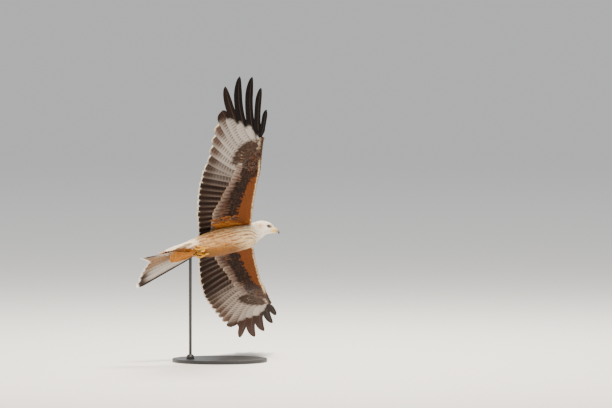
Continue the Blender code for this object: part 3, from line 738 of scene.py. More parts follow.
def quad_mesh(name: str, points: Array, faces: Array) -> bpy.types.Mesh:
    """A mesh of four-sided faces that point outwards.

    Args:
        name: the mesh's name.
        points: the vertices.
        faces: four vertex numbers per face, of closed shapes that all turn the same way.

    Returns:
        The mesh, smooth but for its sharp rims.
    """
    a, b, c, d = (points[faces[:, k]] for k in range(4))
    volume = np.einsum("ij,ij->", a, np.cross(b, c)) + np.einsum("ij,ij->", a, np.cross(c, d))
    if volume < 0:
        faces = faces[:, ::-1]
    mesh = bpy.data.meshes.new(name)
    mesh.vertices.add(len(points))
    mesh.vertices.foreach_set("co", points.astype(np.float32).ravel())
    mesh.loops.add(faces.size)
    mesh.loops.foreach_set("vertex_index", faces.astype(np.int32).ravel())
    mesh.polygons.add(len(faces))
    mesh.polygons.foreach_set("loop_start", np.arange(0, faces.size, 4, dtype=np.int32))
    mesh.update(calc_edges=True)
    mesh.shade_smooth()
    mesh.set_sharp_from_angle(angle=math.radians(50))
    return mesh


def wear_maps(mesh: bpy.types.Mesh, maps: dict[str, Array]) -> None:
    """Stores colours as point attributes and pairs as UV maps.

    Args:
        mesh: the mesh to write to.
        maps: arrays by name, one row per vertex, of two, three or four columns.
    """
    corner = np.empty(len(mesh.loops), np.int32)
    mesh.loops.foreach_get("vertex_index", corner)
    for name, value in maps.items():
        if value.shape[1] == 2:
            layer = mesh.uv_layers.new(name=name, do_init=False)
            layer.uv.foreach_set("vector", value[corner].astype(np.float32).ravel())
            continue
        if value.shape[1] == 3:
            value = np.concatenate((value, np.ones((len(value), 1))), 1)
        layer = mesh.attributes.new(name, "FLOAT_COLOR", "POINT")
        layer.data.foreach_set("color", value.astype(np.float32).ravel())


def feed(node: bpy.types.Node, inputs: dict) -> None:
    """Links sockets to a node's inputs and sets plain values, by the inputs' names or numbers.

    Args:
        node: the node.
        inputs: sockets or plain values by input.
    """
    for key, value in inputs.items():
        if isinstance(value, bpy.types.NodeSocket):
            node.id_data.links.new(value, node.inputs[key])
        else:
            node.inputs[key].default_value = value


def add(
    tree: bpy.types.NodeTree, kind: str, *inputs: object, output: int | str = 0, **settings: object
) -> bpy.types.NodeSocket:
    """Adds a node with its settings and links.

    Args:
        tree: the material's node tree.
        kind: the node's type, without the first part that all types share.
        inputs: sockets or plain values in the inputs' order, or one dict of them by name or number.
        output: which output to hand back.
        settings: properties of the node.

    Returns:
        The chosen output socket.
    """
    made = tree.nodes.new(f"ShaderNode{kind}")
    for name, value in settings.items():
        setattr(made, name, value)
    by_name = bool(inputs) and isinstance(inputs[0], dict)
    feed(made, inputs[0] if by_name else dict(enumerate(inputs)))
    return made.outputs[output]


# Settings that many nodes share: an S-shaped range, and a mix of two colours with its colour output.
SOFT_STEP = {"interpolation_type": "SMOOTHSTEP"}
BLEND = {"output": 2, "data_type": "RGBA"}


def blank_material(name: str) -> tuple[Material, bpy.types.NodeTree, bpy.types.Node]:
    """A new material with its tree and its main shader.

    Args:
        name: its name.

    Returns:
        The material, its tree and its main shader.
    """
    made = bpy.data.materials.new(name)
    made.use_nodes = True
    return made, made.node_tree, made.node_tree.nodes["Principled BSDF"]


@dataclass(frozen=True)
class FeatherFinish:
    """Feather keratin: matt and soft, with fine barbs that run out slanting from the shaft.

    The barbs are about 0.4 mm apart in life, and are drawn coarser so that they show.
    """

    name: str
    barb_pitch: float = 0.0012
    bar_pitch: float = 0.0138
    bar_slant: float = 0.3
    tip_from: float = 0.84
    tip_to: float = 0.95
    roughness: float = 0.62
    sheen: float = 0.02
    gloss: float = 0.12
    shaft: str = "3a2a22"
    shaft_strength: float = 0.35

    def make(self) -> Material:
        """The material, which reads the vane's maps and its tone, ink, fringe and marks.

        Returns:
            The material.
        """
        made, tree, shader = blank_material(self.name)
        vane = add(tree, "UVMap", uv_map="vane")
        span = add(tree, "UVMap", uv_map="span")
        share = add(tree, "SeparateXYZ", vane).node.outputs
        metres = add(tree, "SeparateXYZ", span).node.outputs
        signed = add(tree, "Math", share[0], 2.0, -1.0, operation="MULTIPLY_ADD")
        across = add(tree, "Math", signed, operation="ABSOLUTE")
        aside = add(tree, "Math", metres[0], operation="ABSOLUTE")
        tone = add(tree, "Attribute", attribute_name="tone")
        ink = add(tree, "Attribute", attribute_name="ink")
        fringe = add(tree, "Attribute", attribute_name="fringe")
        strength = add(tree, "Attribute", attribute_name="marks").node.outputs
        parts = add(tree, "SeparateColor", strength["Color"]).node.outputs
        seed = strength["Alpha"]

        offset = add(tree, "CombineXYZ", seed, seed, seed)
        spread = add(tree, "VectorMath", {0: offset, "Scale": 7.0}, operation="SCALE")
        drift = add(tree, "VectorMath", span, (900.0, 160.0, 1.0), operation="MULTIPLY")
        grain_at = add(tree, "VectorMath", drift, spread, operation="ADD")
        grain = add(tree, "TexNoise", {"Vector": grain_at, "Scale": 1.0, "Detail": 3.0})

        slant = add(tree, "Math", aside, -1.2, metres[1], operation="MULTIPLY_ADD")
        phase = add(tree, "Math", slant, 2 * math.pi / self.barb_pitch, operation="MULTIPLY")
        wobble = add(tree, "Math", grain, 5.0, phase, operation="MULTIPLY_ADD")
        barb = add(tree, "Math", wobble, operation="SINE")

        lean = add(tree, "Math", aside, self.bar_slant, metres[1], operation="MULTIPLY_ADD")
        shift = add(tree, "Math", seed, 0.012, lean, operation="MULTIPLY_ADD")
        turn = add(tree, "Math", shift, 2 * math.pi / self.bar_pitch, operation="MULTIPLY")
        ragged = add(tree, "Math", grain, 2.4, turn, operation="MULTIPLY_ADD")
        wave = add(tree, "Math", ragged, operation="SINE")
        bar = add(tree, "MapRange", wave, -0.35, 0.45, **SOFT_STEP)
        bar = add(tree, "Math", bar, parts[1], operation="MULTIPLY")

        centred = add(tree, "Math", share[1], -0.6, operation="ADD")
        squared = add(tree, "Math", centred, centred, operation="MULTIPLY")
        taper = add(tree, "Math", squared, -4.2, 1.0, operation="MULTIPLY_ADD")
        drop = add(tree, "Math", taper, parts[0], operation="MULTIPLY")
        frayed = add(tree, "Math", grain, 0.3, -0.15, operation="MULTIPLY_ADD")
        inside = add(tree, "Math", drop, across, operation="SUBTRACT")
        inside = add(tree, "Math", inside, frayed, operation="ADD")
        streak = add(tree, "MapRange", inside, -0.1, 0.12, **SOFT_STEP)
        there = add(tree, "MapRange", parts[0], 0.0, 0.12)
        streak = add(tree, "Math", streak, there, operation="MULTIPLY")

        rough_edge = add(tree, "Math", grain, 0.16, -0.08, operation="MULTIPLY_ADD")
        near_edge = add(tree, "Math", across, rough_edge, operation="ADD")
        reach = self.tip_to - self.tip_from
        near_tip = add(tree, "Math", rough_edge, reach, share[1], operation="MULTIPLY_ADD")
        edge = add(tree, "MapRange", near_edge, 0.7, 0.95, **SOFT_STEP)
        tip = add(tree, "MapRange", near_tip, self.tip_from, self.tip_to, **SOFT_STEP)
        rim = add(tree, "Math", edge, tip, operation="MAXIMUM")
        rim = add(tree, "Math", rim, parts[2], operation="MULTIPLY")

        hue = add(tree, "Mix", {0: streak, 6: tone, 7: ink}, **BLEND)
        hue = add(tree, "Mix", {0: bar, 6: hue, 7: ink}, **BLEND)
        hue = add(tree, "Mix", {0: rim, 6: hue, 7: fringe}, **BLEND)
        spine = add(tree, "MapRange", {"Value": across, 1: 0.09, 2: 0.03, 4: self.shaft_strength})
        hue = add(tree, "Mix", {0: spine, 6: hue, 7: opaque(self.shaft)}, **BLEND)
        light = add(tree, "Math", barb, 0.05, 0.86, operation="MULTIPLY_ADD")
        light = add(tree, "Math", grain, 0.28, light, operation="MULTIPLY_ADD")
        shade = add(tree, "VectorMath", {0: hue, "Scale": light}, operation="SCALE")
        height = add(tree, "Math", grain, 1.5, barb, operation="MULTIPLY_ADD")
        bump = add(tree, "Bump", {"Height": height, "Distance": 0.0002, "Strength": 0.5})
        look = {"Base Color": shade, "Normal": bump, "Roughness": self.roughness}
        feed(shader, look | {"Sheen Weight": self.sheen, "Specular IOR Level": self.gloss})
        return made


@dataclass(frozen=True)
class SkinFinish:
    """Down over skin: the coat's own colours, matt and mottled, under and between the feathers."""

    name: str = "downy_skin"
    darken: float = 0.85

    def make(self) -> Material:
        """The material, which reads the tone that the coat left on the skin.

        Returns:
            The material.
        """
        made, tree, shader = blank_material(self.name)
        tone = add(tree, "Attribute", attribute_name="tone")
        place = add(tree, "TexCoord", output="Object")
        tuft = add(tree, "TexNoise", {"Vector": place, "Scale": 520.0, "Detail": 4.0})
        light = add(tree, "Math", tuft, 0.5, self.darken - 0.25, operation="MULTIPLY_ADD")
        shade = add(tree, "VectorMath", {0: tone, "Scale": light}, operation="SCALE")
        bump = add(tree, "Bump", {"Height": tuft, "Distance": 0.0006, "Strength": 0.8})
        feed(shader, {"Base Color": shade, "Normal": bump, "Roughness": 0.85})
        return made


@dataclass(frozen=True)
class HornFinish:
    """Smooth horn of bill and claw: hard, slightly glossy, with faint growth lines.

    Its colour runs from a base shade to a tip shade by the piece's own attribute along its length.
    """

    name: str
    base: str
    tip: str
    change: tuple[float, float] = (0.2, 0.7)
    roughness: float = 0.28

    def make(self) -> Material:
        """The material, which reads the attribute reach from 0 at the base to 1 at the tip.

        Returns:
            The material.
        """
        made, tree, shader = blank_material(self.name)
        reach = add(tree, "Attribute", output="Fac", attribute_name="reach")
        place = add(tree, "TexCoord", output="Object")
        cloud = add(tree, "TexNoise", {"Vector": place, "Scale": 420.0, "Detail": 3.0})
        at = add(tree, "Math", cloud, 0.24, -0.12, operation="MULTIPLY_ADD")
        at = add(tree, "Math", at, reach, operation="ADD")
        low, high = self.change
        share = add(tree, "MapRange", at, low, high, **SOFT_STEP)
        ends = {0: share, 6: opaque(self.base), 7: opaque(self.tip)}
        hue = add(tree, "Mix", ends, **BLEND)
        lines = add(tree, "TexWave", {"Vector": place, "Scale": 300.0, "Distortion": 4.0})
        bump = add(tree, "Bump", {"Height": lines, "Distance": 0.00005, "Strength": 0.35})
        feed(shader, {"Base Color": hue, "Normal": bump, "Roughness": self.roughness, "Coat Weight": 0.25})
        return made


@dataclass(frozen=True)
class BareSkinFinish:
    """Bare skin of cere, foot and eyelid: waxy, with small scales or creases that catch the light."""

    name: str
    shade: str
    crease: str
    scale_size: float
    depth: float = 0.0003
    roughness: float = 0.42

    def make(self) -> Material:
        """The material, on the row's own metres.

        Returns:
            The material.
        """
        made, tree, shader = blank_material(self.name)
        place = add(tree, "TexCoord", output="Object")
        settings = {"Vector": place, "Scale": 1 / self.scale_size, "Randomness": 0.8}
        cells = add(tree, "TexVoronoi", settings, output="Distance", feature="DISTANCE_TO_EDGE")
        flat = add(tree, "MapRange", cells, 0.0, 0.16, **SOFT_STEP)
        ends = {0: flat, 6: opaque(self.crease), 7: opaque(self.shade)}
        hue = add(tree, "Mix", ends, **BLEND)
        cloud = add(tree, "TexNoise", {"Vector": place, "Scale": 260.0, "Detail": 4.0})
        light = add(tree, "Math", cloud, 0.4, 0.8, operation="MULTIPLY_ADD")
        hue = add(tree, "VectorMath", {0: hue, "Scale": light}, operation="SCALE")
        bump = add(tree, "Bump", {"Height": flat, "Distance": self.depth, "Strength": 0.7})
        look = {"Base Color": hue, "Normal": bump, "Roughness": self.roughness}
        feed(shader, look | {"Subsurface Weight": 0.08, "Subsurface Scale": 0.002})
        return made


@dataclass(frozen=True)
class EyeFinish:
    """A wet eye: black pupil, dark amber-brown iris with fine spokes, and a darker outer ring."""

    name: str = "wet_eye"
    pupil: str = "050404"
    iris: str = "4f3f22"
    ring: str = "1d150e"

    def make(self) -> Material:
        """The material, which reads the attribute gaze: 1 on the eye's axis and 0 at its side.

        Returns:
            The material.
        """
        made, tree, shader = blank_material(self.name)
        gaze = add(tree, "Attribute", output="Fac", attribute_name="gaze")
        place = add(tree, "TexCoord", output="Object")
        spokes = add(tree, "TexNoise", {"Vector": place, "Scale": 900.0, "Detail": 4.0})
        wander = add(tree, "Math", spokes, 0.03, -0.015, operation="MULTIPLY_ADD")
        at = add(tree, "Math", gaze, wander, operation="ADD")
        bright = add(tree, "Math", spokes, 0.8, 0.6, operation="MULTIPLY_ADD")
        iris = add(tree, "VectorMath", {0: linear(self.iris), "Scale": bright}, operation="SCALE")
        inner = add(tree, "MapRange", at, 0.845, 0.865, **SOFT_STEP)
        outer = add(tree, "MapRange", at, 0.62, 0.72, **SOFT_STEP)
        hue = add(tree, "Mix", {0: outer, 6: opaque(self.ring), 7: iris}, **BLEND)
        hue = add(tree, "Mix", {0: inner, 6: hue, 7: opaque(self.pupil)}, **BLEND)
        feed(shader, {"Base Color": hue, "Roughness": 0.04, "Coat Weight": 1.0, "Coat Roughness": 0.02})
        return made


@dataclass(frozen=True)
class PowderCoatFinish:
    """Black powder coat on steel: satin, with the fine orange peel of the cured powder."""

    name: str = "black_powder_coat"
    shade: str = "1d1e20"
    grain_size: float = 0.0022

    def make(self) -> Material:
        """The material, on the row's own metres.

        Returns:
            The material.
        """
        made, tree, shader = blank_material(self.name)
        place = add(tree, "TexCoord", output="Object")
        peel = add(tree, "TexNoise", {"Vector": place, "Scale": 1 / self.grain_size, "Detail": 2.0})
        dust = add(tree, "TexNoise", {"Vector": place, "Scale": 16.0, "Detail": 5.0})
        worn = {0: dust, 6: opaque(self.shade), 7: opaque("2c2d2f")}
        hue = add(tree, "Mix", worn, **BLEND)
        rough = add(tree, "MapRange", dust, 0.3, 0.7, 0.36, 0.52)
        bump = add(tree, "Bump", {"Height": peel, "Distance": 0.00008, "Strength": 0.5})
        feed(shader, {"Base Color": hue, "Roughness": rough, "Normal": bump})
        return made


@dataclass(frozen=True)
class FloorFinish:
    """A matt pale studio floor, even and without pattern, that blends far away into the backdrop."""

    name: str = "pale_floor"
    shade: str = "f0efed"
    backdrop: str = "eceded"
    backdrop_light: float = 0.66
    blend_from: float = 3.0
    blend_to: float = 17.0

    def make(self) -> Material:
        """The material.

        Returns:
            The material.
        """
        made, tree, shader = blank_material(self.name)
        feed(shader, {"Base Color": opaque(self.shade), "Roughness": 0.9})
        place = add(tree, "TexCoord", output="Object")
        away = add(tree, "VectorMath", place, output="Value", operation="LENGTH")
        reach = {"Value": away, "From Min": self.blend_from, "From Max": self.blend_to}
        far = add(tree, "MapRange", reach, **SOFT_STEP)
        paint = {"Color": opaque(self.backdrop), "Strength": self.backdrop_light}
        glow = add(tree, "Emission", paint)
        blend = add(tree, "MixShader", far, shader.outputs[0], glow)
        tree.links.new(blend, tree.nodes["Material Output"].inputs["Surface"])
        return made


# The plumage's own colours, in linear light.
CREAM = colour("efd5a6")
WHITE = colour("f8f2e9")
BUFF = colour("c98b42")
TAN = colour("93601f")
RUFOUS = colour("743f15")
ORANGE = colour("b4661f")
CHESTNUT = colour("66300f")
BROWN = colour("4c3226")
DUSK = colour("2c1e19")
BLACK = colour("0f0a0a")
WINE = colour("17100f")
PANEL = colour("a69c94")
GREY = colour("86756c")
ASH = colour("614d40")


def wander(seed: Array, amount: float) -> Array:
    """A small difference in lightness from feather to feather."""
    return (1 + amount * (seed - 0.5) * 2)[..., None]


@dataclass
class ContourCoat:
    """The small feathers of head, neck and body, in staggered rows that lie towards the tail."""

    form: BodyForm
    plumage: Plumage
    finish: Material
    depth: float = 0.0032

    def sizes(self, t: Array) -> tuple[Array, Array]:
        """Length and half width of the feathers at t.

        Args:
            t: distances along the body.

        Returns:
            The lengths and the half widths.
        """
        form = self.form
        rump, neck, head, face = form.rump_end, form.neck_start, form.head_start, form.length
        table = (
            # place, length, half width
            (rump, 0.0440, 0.0080),
            (rump + 0.060, 0.0380, 0.0072),
            (rump + 0.130, 0.0330, 0.0066),
            (rump + 0.230, 0.0300, 0.0060),
            (neck - 0.030, 0.0260, 0.0052),
            (neck + 0.020, 0.0205, 0.0040),
            (head, 0.0150, 0.0030),
            (head + 0.022, 0.0090, 0.0021),
            (face - 0.012, 0.0050, 0.0014),
            (face, 0.0034, 0.0010),
        )
        read = along(table, t)
        return read[..., 0], read[..., 1]

    def paint(self, drawn: Drawn) -> Paint:
        """Colours of body feathers by their roots' places, with painted light on the upper right flank and
        painted shade on the lower side.

        Args:
            drawn: the vanes as drawn.

        Returns:
            The vanes' colours and markings.
        """
        form, seed = self.form, drawn.seed
        t, turn = drawn.root[..., 0], drawn.root[..., 1]
        from_rump, from_neck, from_head = t - form.rump_end, t - form.neck_start, t - form.head_start
        back, flank = np.sin(turn), np.cos(turn)
        picked = (seed * 7.3) % 1.0
        throat = 0.026 * smooth(-back, -0.1, 0.6)
        head = smooth(t - throat, form.neck_start - 0.016, form.head_start + 0.002)
        above = smooth(back, 0.5, 0.8)
        rear = smooth(from_neck, 0.01, -0.1)
        # The right flank faces up: it is painted lighter than the belly and the left flank, as painted
        # light.
        right = smooth(-flank, 0.15, 0.75)
        breast = mix(WHITE, CREAM, 0.7 + 0.5 * seed)
        belly = mix(BUFF, TAN, 0.6 + 0.4 * seed)
        side = mix(BUFF, CREAM, 0.15 + 0.4 * seed)
        under = mix(breast, mix(belly, side, 0.9 * right), 0.1 + rear * 0.85)
        # The lower side faces down: it is painted tan to brown and darkened, as painted shade.
        low = smooth(flank, -0.5, 0.4) * (1 - head) * smooth(from_neck, 0.01, -0.06)
        under = mix(under, mix(TAN, BROWN, 0.35 + 0.3 * seed), 0.9 * low)
        under = under * (1 - 0.3 * low)[..., None]
        lines = self.lines(drawn.plan[..., 0], drawn.plan[..., 1])
        vent = smooth(from_rump, 0.165, 0.11)
        line_tone = mix(RUFOUS, mix(ORANGE, CHESTNUT, 1 - rear), 0.4)
        under = mix(under, line_tone, lines * (0.78 + 0.16 * right) * (1 - 0.8 * vent))
        pale = mix(CREAM, WHITE, 0.8 * seed)
        under = mix(under, mix(pale, BUFF, smooth(flank, -0.55, 0.1)), vent * 0.9)
        patch = smooth(flank, -0.35, 0.05) * smooth(from_rump, 0.085, 0.05)
        under = mix(under, mix(ORANGE, TAN, 0.5 * seed), patch * 0.9)
        rump = smooth(from_rump, 0.12, 0.03)
        mantle = mix(CHESTNUT, BROWN, seed * 0.6)
        mantle = mix(mantle, mix(ORANGE, pale, smooth(-flank, 0.5, 0.8)), rump)
        tone = mix(under, mantle, above)
        tone = mix(tone, mix(WHITE, CREAM, 0.5 * seed), head)
        tone = mix(tone, TAN, 0.55 * lines * (1 - above) * (1 - np.abs(2 * head - 1)))
        ink = mix(mix(RUFOUS, ORANGE, seed), DUSK, above)
        ink = mix(ink, mix(TAN, BROWN, 0.6 * seed), head)
        streak = (0.06 + 0.3 * lines * (picked < 0.6) * (1 - head)) * (1 - 0.7 * vent)
        streak = streak * (1 - above) + (0.58 - 0.2 * rump) * above
        crown_and_nape = 0.12 * smooth(back, 0.0, 0.5) + 0.16 * smooth(from_head, 0.02, -0.01)
        streak = streak * (1 - head) + head * (picked > 0.45) * (0.07 + crown_and_nape)
        ear = np.exp(-(((from_head - 0.01) / 0.009) ** 2) - ((back - 0.38) / 0.28) ** 2)
        tone = mix(tone, mix(BUFF, CREAM, 0.3), 0.9 * ear)
        tone = mix(tone, CREAM, 0.8 * smooth(t - form.length, -0.016, -0.006))
        tone = mix(tone, mix(ASH, BROWN, 0.5 * seed), 0.85 * self.near_eye(drawn.plan))
        rim = (above * 0.65 + 0.08 * (1 - above)) * (1 - head)
        return coloured(tone * wander(seed, 0.08), ink, mix(CREAM, BUFF, above), streak, 0.0, rim, seed)

    def lines(self, t: Array, turn: Array) -> Array:
        """Where the long wavering streaks of breast, belly and flank run, from 0 to 1.

        Args:
            t: distances along the body.
            turn: turns round the body, in radians.

        Returns:
            The strength of the streaks.
        """
        wide = np.sin(turn * 23 + 1.6 * np.sin(t * 27 + 3 * turn))
        fine = np.sin(turn * 37 - 1.9 * np.sin(t * 34 - 2 * turn))
        broken = np.sin(t * 88 + turn * 13) + 0.6 * np.sin(t * 143 - turn * 29)
        return smooth(wide + 0.7 * fine + 0.45 * broken, 0.25, 0.95)

    def near_eye(self, place: Array) -> Array:
        """How close each place is to an eye, from 0 to 1, for the darker feathers round it.

        Args:
            place: places on the body, as distance along and turn.

        Returns:
            The closeness, one value per place.
        """
        at = self.form.place(place[..., 0], place[..., 1], np.zeros(place.shape[:-1]))
        near = np.zeros(place.shape[:-1])
        for side in Side:
            eye = HEAD_MATRIX @ eye_middle(side)
            away = (at - np.array(eye)) @ np.array(HEAD_MATRIX.to_3x3())
            away = np.linalg.norm(away * (0.72, 1.0, 1.1), axis=-1)
            near = np.maximum(near, 1 - smooth(away, 0.0074, 0.0118))
        return near

    def rows(self) -> tuple[Array, Array, Array]:
        """Roots, lengths and half widths of all feathers, in staggered rows from the rump to the face.

        Returns:
            The roots, the lengths and the half widths, one entry per feather.
        """
        form, rng = self.form, self.plumage.rng
        roots, lengths, halves = [], [], []
        t, row = form.rump_end + 0.004, 0
        while t < form.length - 0.0006:
            length, half = (float(v) for v in self.sizes(np.array(t)))
            ring = form.ring(np.array(t))
            round_about = math.pi * (np.linalg.norm(ring[1]) + np.linalg.norm(ring[2]))
            count = max(int(round_about / (half * 1.15)), 8)
            turn = (np.arange(count) + 0.5 * (row % 2)) / count * 2 * math.pi
            turn = turn + rng.normal(0.0, 0.14 * 2 * math.pi / count, count)
            spot = t + rng.normal(0.0, 0.09 * length, count)
            roots.append(np.stack((spot, turn), -1))
            lengths.append(length * rng.uniform(0.86, 1.14, count))
            halves.append(half * rng.uniform(0.88, 1.12, count))
            t += length * 0.37
            row += 1
        root, length, half = np.concatenate(roots), np.concatenate(lengths), np.concatenate(halves)
        keep = self.clear_of_eyes(root, length)
        return root[keep], length[keep], half[keep]

    def field(self, root: Array, length: Array, half: Array) -> Tract:
        """The tract of some of the feathers.

        Args:
            root: their roots on the body.
            length: their lengths.
            half: their half widths.

        Returns:
            The tract.
        """
        form, rng = self.form, self.plumage.rng
        count = len(root)
        return Tract(
            sheet=form.place, blank=SMALL, root=root, heading=math.pi + rng.normal(0.0, 0.07, count),
            length=length, fore_width=half, paint=self.paint, metric=form.scale(root[:, 0], root[:, 1]),
            root_lift=-np.minimum(self.depth, length * 0.13), tip_lift=rng.normal(0.0, 0.0002, count),
            dome=0.16, round_from=0.4, point=1.9, unwrap=self.unwrap,
        )

    def flank_coverts(self) -> Tract:
        """Long pale feathers that hang from the right side of the rump over the edge of the tail.

        Returns:
            The tract of these feathers.
        """
        form, rng = self.form, self.plumage.rng
        front, rear, rows, columns = 0.12, 0.044, 8, 9
        turns = np.radians(np.linspace(196.0, 262.0, columns))
        place, turn = np.meshgrid(np.linspace(front, rear, rows), turns, indexing="ij")
        turn = turn + np.radians(4.1) * (np.arange(rows) % 2)[:, None]
        share = (front - place.ravel()) / (front - rear)
        root = np.stack((form.rump_end + place.ravel(), turn.ravel()), -1)
        root = root + rng.normal(0.0, 1.0, root.shape) * (0.002, 0.03)
        below = smooth(root[:, 1], math.radians(202.0), math.radians(236.0))

        def paint(drawn: Drawn) -> Paint:
            """Cream towards the back, and orange to tan towards the belly.

            Args:
                drawn: the vanes as drawn.

            Returns:
                The vanes' colours and markings.
            """
            seed = drawn.seed
            lower = smooth(drawn.root[..., 1], math.radians(222.0), math.radians(238.0))
            tone = mix(mix(CREAM, WHITE, 0.8 * seed), mix(ORANGE, TAN, 0.3 + 0.6 * seed), lower)
            return coloured(tone, TAN, mix(WHITE, BUFF, lower), 0.07, 0.0, 0.4, seed)

        return Tract(
            sheet=form.place, blank=COVERT, root=root,
            heading=math.pi - 0.07 + rng.normal(0.0, 0.04, len(root)),
            length=(0.074 - 0.022 * below) * rng.uniform(0.92, 1.08, len(root)), fore_width=0.007,
            paint=paint, metric=form.scale(root[:, 0], root[:, 1]),
            root_lift=-0.002 + share * (0.003 + 0.012 * below),
            tip_lift=0.008 + share * (0.004 + 0.042 * below), dome=0.1, round_from=0.45,
            unwrap=self.unwrap,
        )

    def unwrap(self, root: Array) -> Array:
        """The place of a root on the unwrapped skin of the body."""
        return np.stack((root[..., 0] / self.form.length, (root[..., 1] / (2 * math.pi)) % 1.0), -1)

    def clear_of_eyes(self, root: Array, length: Array) -> Array:
        """Which feathers leave both eyes bare.

        Args:
            root: the feathers' roots.
            length: their lengths.

        Returns:
            True for each feather that stays.
        """
        keep = np.ones(len(root), bool)
        scale = self.form.scale(root[:, 0], root[:, 1])[:, 0]
        for side in Side:
            eye = HEAD_MATRIX @ eye_middle(side)
            for share in (0.0, 0.5, 1.0):
                at = self.form.place(root[:, 0] - share * length / scale, root[:, 1], np.zeros(len(root)))
                keep &= np.linalg.norm(at - np.array(eye), axis=1) > EYE_RADIUS + 0.001
        return keep

    def build(self) -> list[Piece]:
        """The pieces of the coat, from the rump to the face.

        Returns:
            The four pieces.
        """
        form = self.form
        cuts = (
            ("coat_rump", -1.0, form.rump_end + 0.115),
            ("coat_trunk", form.rump_end + 0.115, form.neck_start - 0.040),
            ("coat_breast", form.neck_start - 0.040, form.head_start + 0.004),
            ("coat_head", form.head_start + 0.004, 1.0),
        )
        root, length, half = self.rows()
        pieces = []
        for name, start, end in cuts:
            part = (root[:, 0] >= start) & (root[:, 0] < end)
            tracts = [self.field(root[part], length[part], half[part])]
            if name == "coat_rump":
                tracts.append(self.flank_coverts())
            pieces.append(self.plumage.piece(name, tracts, self.finish))
        return pieces


# Boundaries of the underwing's markings in the flat plan, measured on both wings in the photograph.
FINGER_DARK = (
    (-0.110, 0.562), (-0.080, 0.570), (-0.064, 0.556), (-0.040, 0.543), (-0.010, 0.530), (0.010, 0.516),
    (0.035, 0.506), (0.054, 0.466), (0.068, 0.448), (0.083, 0.406),
)
RUFOUS_REAR = (
    (0.020, -0.030), (0.125, -0.006), (0.158, 0.003), (0.195, 0.018), (0.218, 0.027), (0.243, 0.040),
    (0.268, 0.056), (0.281, 0.070), (0.310, 0.079), (0.360, 0.083),
)
BLACK_REAR = (
    (0.020, -0.066), (0.111, -0.057), (0.150, -0.055), (0.181, -0.043), (0.210, -0.027),
    (0.243, -0.019), (0.262, 0.004), (0.310, 0.011), (0.350, 0.022), (0.370, 0.042), (0.402, 0.078),
)
# The dark patch at the wrist: its middle and its half sizes.
CARPAL_PATCH = ((0.39, 0.018), (0.064, 0.044))
PRIMARY_TIPS = (
    (0.388, -0.137), (0.437, -0.131), (0.488, -0.124), (0.541, -0.115), (0.604, -0.103),
    (0.713, -0.090), (0.755, -0.033), (0.751, 0.018), (0.700, 0.057), (0.598, 0.085),
)
LEFT_OUTER_TIPS = ((0.748, -0.092), (0.78, -0.036), (0.735, 0.01), (0.668, 0.056), (0.592, 0.083))
# The outer five primaries are fingered: where each one narrows, and its half widths beyond that.
FINGERS = slice(5, 10)
FINGER_NOTCH = (0.6, 0.556, 0.553, 0.53, 0.505)
FINGER_HALF = ((0.0135, 0.02), (0.014, 0.0205), (0.012, 0.02), (0.01, 0.016), (0.0085, 0.013))
# For each primary, innermost first: half widths of outer and inner web, and how far its middle is bowed.
PRIMARY_FORE = (0.015, 0.016, 0.017, 0.018, 0.018, 0.018, 0.017, 0.016, 0.013, 0.0095)
PRIMARY_AFT = (0.033, 0.034, 0.034, 0.034, 0.034, 0.037, 0.033, 0.03, 0.026, 0.02)
PRIMARY_BOW = (-0.004, -0.005, -0.006, -0.007, -0.01, -0.017, -0.03, -0.021, -0.01, 0.001)
# The lie of the coverts in the plan: degrees from +u at some distances out.
COVERT_LIE = (
    (0.0, -94.0), (0.15, -88.0), (0.25, -80.0), (0.3, -66.0), (0.36, -46.0),
    (0.42, -26.0), (0.47, -9.0),
)
ARM_COVERTS = (0.028, 0.29)
HAND_COVERTS = (0.288, 0.466)
COVERTS_END = 0.4655
# Rows of scapulars and of axillaries: distance out, and the feathers' length.
SCAPULARS = ((0.02, 0.052), (0.036, 0.06), (0.052, 0.062), (0.068, 0.058))
AXILLARIES = ((0.034, 0.066), (0.043, 0.074), (0.052, 0.074), (0.061, 0.066), (0.069, 0.054))
# How much light comes back from each kind of feather, against its colour in full light.
FLIGHT_LIGHT = 0.8
TAIL_LIGHT = 0.82
UNDER_COVERT_LIGHT = 0.85


